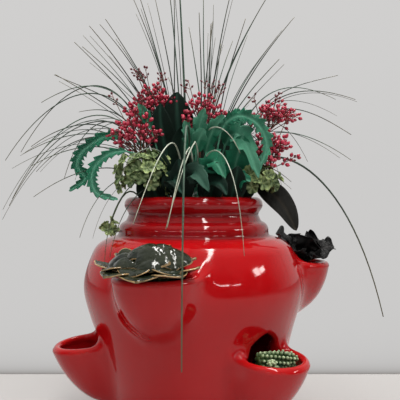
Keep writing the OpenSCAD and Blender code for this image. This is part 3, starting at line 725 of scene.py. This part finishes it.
def grass(name, curves, radius, tones, seed, fine=0):
    """Blades along curves, each a little wavy, with finer ones beside them."""
    rng = random.Random(seed)
    shape = Shape()
    jobs = [(c, radius, tones[i % len(tones)]) for i, c in enumerate(curves)]
    for i in range(fine):
        c = [np.array(p, float) for p in curves[(i * 5 + 2) % len(curves)]]
        pull = np.array([rng.uniform(-15, 15), rng.uniform(-14, 14), rng.uniform(-24, 4)])
        c[1], c[2], c[3] = c[1] + pull * 0.25, c[2] + pull * 0.8, c[3] + pull
        jobs.append((c, radius * 0.62, tones[(i * 3) % len(tones)]))
    for curve, r, tone in jobs:
        t = np.linspace(0, 1, 34)
        path = bezier(curve, t)
        wave = rng.uniform(0.4, 1.3)
        sway = np.sin(t * rng.uniform(5, 9) + rng.uniform(0, 6)) * wave * t * (1 - t) * 3
        path = path + unit(np.cross(slope(curve, t), [0.2, 1, 0.1])) * sway[:, None]
        size = r * (1 - 0.6 * t ** 2.2)
        verts, faces = tube(path, size, 6, 0.75, rng.uniform(0, 3))
        tone = min(max(tone + rng.uniform(-0.1, 0.1), 0), 1)
        shape.add(verts, faces, np.c_[np.full(len(verts), tone), np.repeat(t, 6), np.zeros(len(verts))])
    shape.build(name, "arrangement", GRASS, "grass_green", name.replace("_blades", ""))


def fan(tips, at):
    return [upright(foam_spot(i, at), tip) for i, tip in enumerate(tips)]


def arches(rows, at):
    return [arching(foam_spot(i, at), *row) for i, row in enumerate(rows)]


grass("grass_upright_left_blades", fan(LEFT_TIPS, (-17, 4)), 0.95, [0.05, 0.2, 0.0, 0.3, 0.1], 1, 9)
grass("grass_upright_right_blades", fan(RIGHT_TIPS, (14, 2)), 0.95, [0.25, 0.1, 0.4, 0.0, 0.2], 2, 10)
grass("grass_upright_back_blades", fan(BACK_TIPS, (0, 30)), 0.9, [0.2, 0.05, 0.4], 3, 6)
grass("grass_arching_left_blades", arches(LEFT_ARCHES, (-38, 4)), 0.9, [0.3, 0.1, 0.45, 0.2], 4, 8)
grass("grass_arching_right_blades", arches(RIGHT_ARCHES, (36, 4)), 0.85, [0.1, 0.35, 0.2], 5, 5)
grass("grass_drooping_front_blades", STRAIGHT_DROOPS + arches(FRONT_DROOPS, (-4, -22)), 1.0,
      [1.0, 0.9, 0.95, 0.95, 0.8, 0.25, 0.2, 0.95], 6)
grass("grass_stout_stem_blades",
      [upright([-9, -8, STEM_Z], [-20, 0, 600]),
       arching([-3, -12, STEM_Z], [-9, -207, 138], 432, 1),
       arching([24, -6, STEM_Z], [230, -30, 155], 392, 0.74)], 1.5, [0.42, 0.5, 0.3], 7)


# ---------- berries ----------
BERRY_R, BERRY_STALK = (1.8, 2.45), (2.4, 5.6)  # smallest and largest
BUD_SHARE, BUD_SIZE = 0.12, 0.66


def berry_spray(name, foot, knee, head, spread, twigs, buds, seed):
    """A bent stalk whose twigs end in berries over a dome, with bare-headed buds above them."""
    rng = random.Random(seed)
    shape = Shape()
    rise = [foot[0], foot[1], FOAM_TOP + 12]
    stalk = np.array([[foot[0], foot[1], STEM_Z], rise, knee, head], float)
    t = np.linspace(0, 3, 31)
    path = np.stack([np.interp(t, range(4), stalk[:, a]) for a in range(3)], axis=1)
    for _ in range(6):
        path[1:-1] = (path[:-2] + 2 * path[1:-1] + path[2:]) / 4
    shape.add(*tube(path, np.linspace(1.25, 0.9, len(path)), 7), (1, 0, 0))
    head, spread = np.array(head, float), np.array(spread, float)
    for i in range(twigs + buds):
        out = math.sqrt((i + 0.5) / twigs) * rng.uniform(0.85, 1.12)
        end = head + spread * [out * math.cos(i * GOLDEN), out * math.sin(i * GOLDEN),
                               (1 - 0.7 * out * out) * rng.uniform(0.75, 1.1)]
        if i >= twigs:
            end = head + spread * [rng.uniform(-0.9, 0.9), rng.uniform(-0.6, 0.6), rng.uniform(1.15, 1.5)]
        start = path[-1 - rng.randint(0, 5)]
        way = unit(end - start)
        bow = np.cross(way, [0.3, 0.4, 0.2]) * rng.uniform(-4, 4)
        twig = bezier([start, lerp(start, end, 0.35) + bow, lerp(start, end, 0.7) + bow, end],
                      np.linspace(0, 1, 9))
        shape.add(*tube(twig, np.linspace(0.65, 0.4, 9), 5), (1, 0, 0))
        for j in range(10 if i < twigs else 4):
            at = twig[-1 - (j // 2)] if j < 9 else end
            turn, tilt = j * GOLDEN + i, rng.uniform(0.5, 1.1)
            side = unit(np.cross(way, [0.2, 0.5, 0.8]))
            other = np.cross(way, side)
            aim = unit(way * math.cos(tilt) + (side * math.cos(turn) + other * math.sin(turn))
                       * math.sin(tilt))
            if j == 9:
                aim = way
            reach = rng.uniform(*BERRY_STALK)
            r = rng.uniform(*BERRY_R)
            bud = i >= twigs or rng.random() < BUD_SHARE
            if bud:
                r *= BUD_SIZE
            centre = at + aim * (reach + r)
            shape.add(*tube([at, at + aim * reach * 0.5, centre], [0.4, 0.35, 0.4], 5), (0.7, 0.2, 0))
            verts, faces = ball(centre, r, aim, 1.18, 9, 6, 0.12)
            blush = np.clip((verts - centre) @ aim / r, 0, 1) * rng.uniform(0.1, 1)
            mask = np.c_[np.zeros(len(verts)), np.full(len(verts), 0.85 if bud else rng.uniform(0, 0.3)),
                         blush]
            shape.add(verts, faces, mask)
            shape.add(*ball(centre + aim * r * 1.2, 0.5, aim, 1.2, 5, 4), (0.4, 0.8, 0))
    shape.build(name, "arrangement", BERRY, "berry_crimson", name.replace("_spray", ""))


berry_spray("berries_left_high_spray", [-20, -14], [-32, -10, 370], [-50, -8, 398], [28, 18, 42], 18, 8, 11)
berry_spray("berries_left_low_spray", [-26, -22], [-44, -24, 340], [-70, -36, 352], [30, 18, 48], 18, 2, 12)
berry_spray("berries_centre_spray", [6, -26], [8, -20, 360], [14, -26, 380], [28, 16, 40], 16, 7, 13)
berry_spray("berries_right_high_spray", [32, -12], [60, -14, 350], [100, -20, 388], [30, 15, 24], 13, 3, 14)
berry_spray("berries_right_low_spray", [40, -20], [62, -30, 322], [94, -38, 334], [26, 17, 44], 16, 1, 15)


# ---------- cloth leaves ----------
def oval(half, teeth=0, depth=0.0, power=0.7, early=0.8, saw=True):
    """Half width along a leaf, with teeth that lean towards the tip or round scallops."""

    def width(u, side):
        w = half * max(math.sin(math.pi * min(max(u, 0), 1) ** early), 0) ** power
        if teeth:
            phase = (u * teeth + (0.35 if side > 0 else 0)) % 1
            if saw:
                w *= 1 - depth * (1 - phase) ** 0.8
            else:
                w *= 1 - depth * (1 - abs(math.sin(math.pi * phase)) ** 0.5)
        return w

    return width


def cloth_leaves(name, paint, slot, rows, **form):
    """Leaves that rise from the foam. A row is a curve, whose first point needs no height, a half width,
    a tone, and what differs from the form that the rows share."""
    shape = Shape()
    for ((x, y), *bends), width, tone, *own in rows:
        given = {**form, **(own[0] if own else {})}
        verts, faces, mask = leaf([(x, y, STEM_Z), *bends], width=width, **given)
        shape.add(verts, faces, mask * [1, 1, tone])
    shape.build(name, "arrangement", paint, slot, name.replace("_cloth", ""))


def lobe(start, ripple=(0, 0), **own):
    """What a lobed leaf has of its own: where its blade starts and how its edge ripples."""
    return dict(dict(stalk=(start, 1.0), ripple=ripple), **own)


def facing(*face):
    return dict(face=face)


cloth_leaves("teal_leaves_curled_cloth", TEAL, "leaf_teal", [
    ([(-36, -14), (-42, -18, 322), (-62, -26, 362), (-99, -36, 374), (-130, -42, 356), (-138, -44, 338),
      (-129, -44, 322), (-147, -46, 307)],
     oval(9.5, 13, 0.5, 0.45, 0.75), 0.3, dict(face=(0.15, -1, 0.1), cup=0.35, steps=110)),
    ([(-32, -24), (-42, -34, 322), (-64, -48, 350), (-92, -58, 352), (-112, -62, 338), (-117, -64, 320),
      (-109, -66, 304), (-86, -70, 297)],
     oval(8.5, 12, 0.5, 0.45, 0.75), 0.6, dict(face=(0.1, -1, 0.25), cup=0.25, steps=104))],
    rib=0.9, across=8, stalk=(0.36, 1.0), thick=0.9)

cloth_leaves("teal_leaves_scalloped_cloth", TEAL, "leaf_teal", [
    ([(10, -28), (4, -38, 344), (0, -54, 372), (14, -64, 402)],
     oval(13, 4, 0.42, 0.6), 0.9, lobe(0.5, (2.2, 2.3))),
    ([(12, -28), (10, -38, 340), (14, -56, 376), (36, -66, 394)],
     oval(12, 4, 0.42, 0.6), 0.8, lobe(0.5, (2.2, 2.3))),
    ([(8, -30), (2, -40, 340), (-4, -58, 370), (-10, -66, 388)],
     oval(10, 4, 0.42, 0.6), 0.9, lobe(0.5, (1.8, 2.3))),
    ([(4, -36), (0, -44, 330), (0, -70, 366), (14, -77, 376)],
     oval(10, 3, 0.2, 0.5, saw=False), 0.9, lobe(0.62, (0.8, 2.3))),
    ([(20, -24), (30, -28, 350), (46, -58, 430), (76, -62, 322)],
     oval(18, 5, 0.4), 0.95, lobe(0.46, (3.2, 2.6))),
    ([(26, -18), (32, -16, 350), (38, -30, 394), (68, -36, 403)],
     oval(14, 5, 0.34), 0.8, lobe(0.5, (2.0, 3.2))),
    ([(22, -22), (26, -34, 320), (28, -52, 352), (34, -60, 380), (52, -62, 394), (74, -60, 386),
      (86, -58, 362), (76, -60, 330)],
     oval(11, 14, 0.55, 0.45, 0.8), 0.75, lobe(0.4, (2.6, 6.2), face=(0.25, -1, 0.3), steps=100)),
    ([(34, -24), (44, -34, 310), (54, -52, 356), (58, -58, 372)],
     oval(19, 5, 0.3, 0.6), 0.2, lobe(0.36, (2.0, 2.3))),
    ([(30, -30), (38, -44, 306), (52, -60, 330), (66, -66, 318)],
     oval(13, 4, 0.3, 0.6), 0.1, lobe(0.36, (1.6, 2.3))),
    ([(18, -34), (14, -42, 320), (18, -68, 372), (36, -77, 320)],
     oval(17, 5, 0.4, 0.6), 0.15, lobe(0.36, (2.6, 2.1))),
    ([(-24, -22), (-40, -28, 350), (-50, -38, 390), (-66, -42, 411)],
     oval(8, 3, 0.3), 0.6, lobe(0.66, stalk=(0.66, 0.8)))],
    face=(0.2, -1, 0.25), cup=0.25, rib=1.2, steps=70, across=14, thick=0.9)

cloth_leaves("dark_leaves_cloth", DARK, "leaf_dark_green", [
    ([(-2, -44), (-8, -54, 322), (-4, -82, 350), (18, -89, 306)], oval(14, 6, 0.22), 1.0, facing(0, -1, 0.4)),
    ([(0, -46), (6, -52, 306), (26, -76, 336), (38, -88, 302)], oval(11), 0.1, facing(0, -1, 0.5)),
    ([(-20, -40), (-24, -50, 310), (-30, -72, 340), (-12, -86, 304)], oval(12), 0.35, facing(0, -1, 0.4)),
    ([(-3, -2), (-11, -6, 330), (-24, -14, 400), (-20, -12, 430)], oval(22), 0.0, facing(0, -1, 0)),
    ([(-10, -6), (-26, -12, 330), (-44, -22, 380), (-40, -24, 414)], oval(17), 0.0, facing(0.1, -1, 0.2)),
    ([(-6, -20), (-12, -24, 320), (-16, -44, 352), (-10, -52, 386)], oval(18), 0.0),
    ([(8, 12), (20, 16, 330), (30, 22, 380), (34, 32, 412)], oval(20), 0.0, facing(0, -1, 0)),
    ([(-24, -36), (-34, -50, 312), (-38, -58, 330), (-36, -62, 352)], oval(14), 0.1),
    ([(-34, -30), (-48, -40, 298), (-56, -45, 310), (-62, -46, 326)], oval(14), 0.1),
    ([(-30, -34), (-42, -46, 296), (-46, -52, 306), (-50, -54, 318)], oval(12), 0.3),
    ([(-8, -44), (-12, -58, 300), (-14, -66, 322), (-16, -68, 344)], oval(15), 0.0),
    ([(14, -40), (20, -56, 300), (24, -66, 322), (28, -70, 340)], oval(14), 0.1),
    ([(36, -34), (46, -50, 300), (50, -60, 318), (52, -64, 336)], oval(14), 0.15),
    ([(46, -20), (58, -34, 300), (66, -40, 318), (70, -44, 340)], oval(13), 0.2),
    ([(-16, 40), (-20, 56, 320), (-26, 76, 380), (-32, 110, 372)], oval(22), 0.4, facing(0, -0.6, 1)),
    ([(20, 38), (26, 54, 320), (44, 80, 370), (60, 112, 366)], oval(22), 0.5, facing(0, -0.6, 1))],
    face=(0, -1, 0.2), cup=0.3, rib=1.3, ripple=(1.2, 1.6), steps=40, across=10, stalk=(0.3, 1.0), thick=0.9)

cloth_leaves("brown_leaf_cloth", BROWN, "leaf_brown", [
    ([(45, 20), (54, 6, 302), (74, -14, 317), (95, -27, 305), (111, -35, 286), (123, -41, 260)],
     oval(15.5, power=0.6), 1.0)],
    face=(0.25, -1, 0.3), cup=0.12, rib=1.0, ripple=(0.6, 1.5), steps=40, across=10, stalk=(0.42, 1.0),
    thick=0.9)


# ---------- filler ----------
LEAFLETS, LEAFLET_LENGTH, LEAFLET_HALF = 5, (6.5, 10.5), (3.2, 4.4)


def filler(name, foot, over, centre, size, count, seed, pale=0.4):
    """Tufts of small lobed leaves at the ends of thin stalks, over a flattened dome."""
    rng = random.Random(seed)
    shape = Shape()
    over, centre, size = np.array(over, float), np.array(centre, float), np.array(size, float)
    trunk = bezier([[foot[0], foot[1], STEM_Z], lerp(np.array([*foot, STEM_Z]), over, 0.7), over, centre],
                   np.linspace(0, 1, 12))
    shape.add(*tube(trunk, np.linspace(1.2, 0.8, 12), 6), (0.2, 0, 0.1))
    for i in range(count):
        up = 1 - 1.5 * (i + 0.5) / count
        flat = math.sqrt(1 - up * up)
        out = np.array([flat * math.cos(i * GOLDEN), flat * math.sin(i * GOLDEN), up])
        end = centre + size * out * rng.uniform(0.6, 1.15)
        bright = 0.6 if rng.random() < pale else 0.0
        stalk = bezier([centre, lerp(centre, end, 0.4), lerp(centre, end, 0.8) + [0, 0, 1.5], end],
                       np.linspace(0, 1, 7))
        shape.add(*tube(stalk, 0.5, 5), (0.3, 0, 0.2))
        aim = unit(out + [0, -0.25, 0.15])
        side = unit(np.cross(aim, [0.1, 0.2, 1]))
        other = np.cross(aim, side)
        for j in range(LEAFLETS):
            turn = j * math.pi / 2.5 + rng.uniform(-0.3, 0.3)
            spread = side * math.cos(turn) + other * math.sin(turn)
            length = rng.uniform(*LEAFLET_LENGTH)
            tip = end + (spread * 0.93 + aim * rng.uniform(0.15, 0.5)) * length
            curve = [end - aim * 0.6, end + spread * length * 0.3 + aim * 0.6,
                     lerp(end, tip, 0.7) + aim * 0.9, tip]
            verts, faces, mask = leaf(curve, aim,
                                      oval(rng.uniform(*LEAFLET_HALF), 3, 0.42, 0.5, 1.1, saw=False),
                                      0.4, 0.3, 0.3, steps=14, across=6, stalk=(0.12, 0.35))
            shape.add(verts, faces, mask * [1, 1, rng.uniform(0.1, 0.6) + bright])
        shape.add(*ball(end + aim * 0.5, 0.9, aim, 1.0, 6, 4), (0, 0, 0.9))
    shape.build(name, "arrangement", FILLER, "filler_green", name.replace("_tuft", ""))


filler("filler_left_tuft", [-35, -38], [-39, -42, 316], [-59, -52, 325], [30, 18, 27], 48, 21)
filler("filler_right_tuft", [44, -28], [50, -30, 308], [78, -38, 318], [26, 16, 15], 30, 22)
filler("filler_sprig_tuft", [-46, -16], [-80, -34, 330], [-100, -46, 262], [8, 8, 8], 4, 23, 1.0)


# ---------- succulents ----------
def on_foam(pocket, drop, lean=0.0):
    """A function that places points of a plant's own frame on a pocket's foam."""

    def move(points):
        out = turned(points, lean, "y")
        sunk = drop + PICK_OUT * math.tan(math.radians(pocket.tilt))
        return turned(out + [pocket.reach + PICK_OUT, 0, pocket.lip - sunk], pocket.azimuth - 90, "z")

    return move


def spade(half):
    """A fleshy leaf: widest near its end, which comes to a short point."""

    def width(u, side):
        if u < 0.72:
            return half * (0.42 + 0.58 * math.sin(math.pi / 2 * u / 0.72))
        return half * max(1 - ((u - 0.72) / 0.28) ** 1.9, 0)

    return width


def ragged(half, teeth, depth, seed):
    """A crumpled petal, bitten to a random depth at each tooth."""
    rng = random.Random(seed)
    bites = [rng.uniform(0.3, 1.0) for _ in range(2 * teeth + 4)]

    def width(u, side):
        w = half * (0.35 + 0.65 * math.sin(math.pi * min(u, 1) ** 1.1 * 0.62))
        if u > 0.86:
            w *= max(1 - ((u - 0.86) / 0.14) ** 1.4, 0)
        k = u * teeth + (0.4 if side > 0 else 0)
        bite = bites[int(k) * 2 + (1 if side > 0 else 0)]
        return w * (1 - depth * bite * (1 - (k % 1)) ** 0.9)

    return width


def fleshy(rows, width, face=(0, 0, 1), **form):
    """Leaves along their own curves: base, two bends and tip, with a half width and perhaps a facing."""
    shape = Shape()
    for curve, half, *own in rows:
        shape.add(*leaf(curve, own[0] if own else face, width(half), **form))
    return shape


PLUMP = dict(width=spade, thick=4.8, rib=0.2, steps=26, across=14, stalk=(0.1, 4), swell=0.3, keen=0.75)
outer = fleshy([
    ([(6, -4, 6), (14, -20, 14), (22, -40, 17), (16, -58, 25)], 13),
    ([(8, -6, 6), (22, -18, 14), (38, -26, 16), (49, -33, 13)], 19),
    ([(10, 0, 6), (26, 0, 14), (42, 0, 14), (53, 3, 10)], 20),
    ([(10, 6, 6), (22, 16, 14), (34, 30, 15), (39, 45, 15)], 18),
    ([(4, 8, 6), (8, 24, 12), (14, 40, 16), (15, 55, 22)], 13),
    ([(6, -6, 10), (16, -20, 21), (25, -33, 21), (31, -44, 17)], 17),
    ([(8, 4, 10), (20, 15, 21), (30, 25, 21), (36, 38, 15)], 16),
    ([(10, -2, 10), (24, -4, 21), (36, -6, 21), (46, -8, 13)], 18),
    ([(0, 8, 10), (0, 20, 20), (-2, 34, 25), (-2, 46, 29)], 12),
    ([(0, -8, 10), (0, -20, 20), (-2, -32, 26), (-3, -44, 31)], 12),
    ([(-4, 2, 10), (-10, 6, 22), (-16, 10, 32), (-20, 12, 40)], 13, (-0.6, 0, 1))], cup=0.12, **PLUMP)
outer.place(on_foam(UPPER[0], 5))
outer.build("echeveria_outer_whorls", "echeveria", ECHEVERIA, "echeveria_green", "echeveria_leaves")

heart = fleshy([
    ([(-10, 2, 14), (0, 4, 56), (24, 0, 46), (34, -6, 16)], 31),
    ([(-4, 10, 14), (4, 22, 50), (18, 28, 40), (28, 33, 19)], 21),
    ([(-4, -12, 14), (2, -24, 40), (16, -32, 34), (25, -36, 18)], 20),
    ([(-2, -8, 14), (-4, -22, 25), (-4, -32, 30), (-2, -42, 28)], 10, (1, 0, 0.3)),
    ([(-6, 0, 14), (0, -2, 44), (14, -10, 44), (26, -16, 28)], 24),
    ([(-6, 6, 14), (-2, 10, 46), (10, 12, 48), (20, 14, 34)], 20),
    ([(2, -10, 10), (16, -18, 34), (28, -22, 32), (35, -24, 19)], 19),
    ([(2, 6, 10), (18, 8, 36), (32, 10, 32), (38, 12, 18)], 20)],
    cup=-0.38, **PLUMP)
heart.place(on_foam(UPPER[0], 5))
heart.build("echeveria_heart_leaves", "echeveria", ECHEVERIA, "echeveria_green", "echeveria_heart")

black = fleshy([
    ([(-4, -4, 6), (-14, -6, 28), (-26, -6, 42), (-35, -4, 44)], 16, (0.4, -0.6, 1)),
    ([(0, -3, 6), (-2, -14, 26), (4, -22, 36), (6, -26, 39)], 20, (0.1, -1, 0.3)),
    ([(4, -2, 6), (18, -6, 20), (32, -8, 28), (45, -8, 26)], 16, (-0.1, -0.6, 1)),
    ([(4, 4, 6), (16, 10, 24), (26, 14, 34), (34, 18, 35)], 16, (-0.3, -0.8, 0.7)),
    ([(2, -6, 6), (8, -22, 15), (14, -34, 17), (18, -42, 15)], 17, (0, -0.5, 1)),
    ([(0, 4, 6), (-4, 18, 22), (-6, 28, 32), (-4, 36, 34)], 16, (0, -0.8, 0.7)),
    ([(-2, -6, 6), (-12, -18, 16), (-18, -30, 22), (-20, -38, 24)], 14, (0, -0.5, 1)),
    ([(6, 0, 8), (14, 2, 28), (18, 0, 36), (24, -2, 38)], 15, (-0.4, -1, 0.2)),
    ([(4, 8, 6), (16, 24, 18), (22, 34, 22), (26, 40, 24)], 12, (0, 0.3, 1)),
    ([(0, 0, 8), (-8, 6, 28), (-12, 8, 38), (-12, 6, 43)], 15, (0.4, -1, 0.1))],
    width=lambda h: ragged(h, 4, 0.36, int(h * 7)), thick=1.2, cup=0.3, rib=1.4, ripple=(3.0, 2.6),
    steps=44, across=12, stalk=(0.08, 2.0))
black.place(on_foam(UPPER[1], 5))
black.build("black_rosette_leaves", "black_rosette", ROSETTE, "rosette_black", "black_rosette")


def beads(length, ring_r, pitch, per_ring, seed, core):
    """A stalk set with rings of plump beads that point outwards and a little forward."""
    rng = random.Random(seed)
    shape = Shape()
    shape.add(*tube([[-2, 0, 0], [length * 0.5, 0, 0], [length, 0, 0]], [core, core, core * 0.5], 8))

    def bead(place, out, sink, r, stretch, point, pale):
        verts, faces = ball(place - unit(out) * sink, r, out, stretch, 10, 8, point)
        tip = np.clip(((verts - place) @ unit(out) + 1) / 3.4, 0, 1)
        shape.add(verts, faces, np.c_[tip * 0, tip * 0, tip * pale])

    for i in range(int(length / pitch) + 1):
        fade = 0.72 if i * pitch > length - 2 * pitch else 1
        for j in range(per_ring):
            a = math.radians(360 * j / per_ring + 5 * i)
            bead(np.array([i * pitch, ring_r * fade * math.cos(a), ring_r * fade * math.sin(a)]),
                 np.array([0.35, math.cos(a), math.sin(a)]), 0.4, 2.05 * rng.uniform(0.94, 1.05), 1.6, 0.1,
                 rng.uniform(0.6, 1))
    for j in range(4):
        a = j * math.pi / 2
        bead(np.array([length + 1.2, 1.6 * math.cos(a), 1.6 * math.sin(a)]),
             np.array([1.0, 0.7 * math.cos(a), 0.7 * math.sin(a)]), 0, 1.9, 1.3, 0.0, 1)
    return shape


strand = beads(44, 7.8, 4.9, 9, 61, 5.4)
strand.place(lambda p: on_foam(LOWER[0], 9, 6)(turned(p, 72, "z") + [-11, -20, 10.9]))
strand.build("sedum_strand_beads", "sedum", SEDUM, "sedum_green", "sedum_strand")
tuft = beads(9, 3.3, 4.5, 5, 62, 2.0)
tuft.place(lambda p: on_foam(LOWER[0], 9, 6)(turned(turned(p, -60, "y"), -90, "z") + [5, -15, 6.0]))
tuft.build("sedum_tuft_beads", "sedum", SEDUM, "sedum_green", "sedum_tuft")


# ---------- stage and light ----------
# Past WALL_Y, mm behind the axis, the camera sees a wall: shaded at its foot, and fading to pale
WALL_Y, WALL_SHADOW, WALL_PALE, WALL_TOP = 266.0, (138, 134, 131), (204, 203, 202), (208, 207, 206)
SHADOW_HALF, SHADOW_POWER = 20.0, 1.1  # mm to half of the shadow's depth, and how fast it fades


def add_floor():
    """A pale floor. Where the wall begins, the camera sees the wall's shadow and not the floor."""
    mesh = bpy.data.meshes.new("stage_floor")
    mesh.from_pydata([(-9, -6, 0), (9, -6, 0), (9, 14, 0), (-9, 14, 0)], [], [(0, 1, 2, 3)])
    floor = put("stage_floor", mesh)
    p = Paint("stage_floor", 0.6, Specular_IOR_Level=0.2)
    p.base(p.colour(p.ramp(p.noise(3, 2), 0.3, 0.7), (172, 169, 167), (180, 177, 175)))
    y = p.node("ShaderNodeSeparateXYZ", {0: p.coords}).outputs["Y"]
    depth = p.sum("MAXIMUM", p.sum("SUBTRACT", y, WALL_Y * MM), 0.0)
    fade = p.sum("POWER", p.sum("DIVIDE", depth, SHADOW_HALF * MM), SHADOW_POWER)
    shade = p.colour(p.sum("DIVIDE", 1.0, p.sum("ADD", fade, 1.0)), WALL_PALE, WALL_SHADOW)
    wall = p.node("ShaderNodeEmission", {"Color": shade})
    seen = p.times(p.ramp(y, (WALL_Y - 0.5) * MM, (WALL_Y + 0.5) * MM),
                   p.node("ShaderNodeLightPath").outputs["Is Camera Ray"])
    mix = p.node("ShaderNodeMixShader", {0: seen, 1: p.shader.outputs[0], 2: wall.outputs[0]})
    p.feed(p.tree.nodes["Material Output"].inputs["Surface"], mix.outputs[0])
    mesh.materials.append(p.material)


def add_world():
    """The camera sees the wall, glossy surfaces a dark room in front and the pale wall behind,
    and all the rest gets even soft light."""
    world = bpy.data.worlds.new("studio")
    bpy.context.scene.world = world
    world.use_nodes = True
    n = Nodes(world.node_tree, "Generated")
    split = n.node("ShaderNodeSeparateXYZ", {0: n.coords}).outputs

    def smooth(source, low, high):
        return n.ramp(source, low, high, interpolation_type="SMOOTHSTEP")

    def light(colour, strength=1.0):
        return n.node("ShaderNodeBackground", {"Color": colour, "Strength": strength}).outputs[0]

    room = n.colour(smooth(n.noise(4.0, 2.0), 0.42, 0.6), (0.035, 0.03, 0.03, 1), (0.14, 0.125, 0.12, 1))
    room = n.colour(smooth(split["Z"], 0.35, 0.95), room, (0.55, 0.53, 0.52, 1))
    room = n.colour(smooth(split["Y"], -0.15, 0.55), room, (0.60, 0.59, 0.58, 1))
    wall = n.colour(smooth(split["Z"], 0.0, 0.32), WALL_PALE, WALL_TOP)
    path = n.node("ShaderNodeLightPath").outputs
    seen = light((0.97, 0.98, 1.0, 1), 0.40)
    for ray, other in (("Is Glossy Ray", room), ("Is Camera Ray", wall)):
        seen = n.node("ShaderNodeMixShader", {0: path[ray], 1: seen, 2: light(other)}).outputs[0]
    n.feed(n.tree.nodes["World Output"].inputs["Surface"], seen)


def add_lamp(name, place, aim, size, power, tint=(1, 1, 1), shine=True, turn=0.0):
    """An area lamp that points at aim. Places and sizes are in metres here."""
    lamp = put(name, bpy.data.lights.new(name, "AREA"))
    lamp.data.shape = "RECTANGLE"
    lamp.data.size, lamp.data.size_y = size
    lamp.data.energy = power
    lamp.data.color = tint
    lamp.location = place
    way = unit(np.array(aim, float) - place)
    lamp.rotation_euler = (math.acos(-way[2]), 0, math.atan2(way[1], way[0]) - math.pi / 2 + turn)
    lamp.visible_glossy = shine


add_floor()
add_world()
WARM = (1.0, 0.98, 0.94)
# the tube over the jar and the lamps at the right, which make its highlights
add_lamp("lamp_tube", (0.42, -0.35, 2.2), (0.42, -0.35, 0), (3.4, 0.16), 44, WARM, turn=0.185)
add_lamp("lamp_right", (1.72, -0.6, 1.0), (0, -0.1, 0.22), (0.26, 0.24), 3.4, WARM)
add_lamp("lamp_right_far", (1.72, -0.34, 0.96), (0, -0.1, 0.22), (0.2, 0.14), 1.6, WARM)
# low lamps far off in an arc, which make the broken line across the belly: degrees and width of each
ROW = ((-58, 0.5), (-44, 0.3), (-31, 0.6), (-18, 0.35), (-6, 0.6), (7, 0.4), (18, 0.7), (32, 0.45), (44, 0.5))
ROW_REACH, ROW_HEIGHT, ROW_STAGGER = 3.2, 1.12, 0.04
for index, (angle, wide) in enumerate(ROW):
    x, y = ROW_REACH * math.sin(math.radians(angle)), -ROW_REACH * math.cos(math.radians(angle))
    z = ROW_HEIGHT + ROW_STAGGER * (index % 2)
    add_lamp("lamp_row_%d" % index, (x, y, z), (0, 0, 0.2), (wide, 0.04), 2.4)
# a broad soft lamp above that gives the plants their tops and shadows
add_lamp("lamp_soft", (-0.2, -0.45, 2.3), (0, 0, 0.3), (1.6, 1.6), 33, shine=False)

bpy.context.scene.view_settings.view_transform = "Standard"
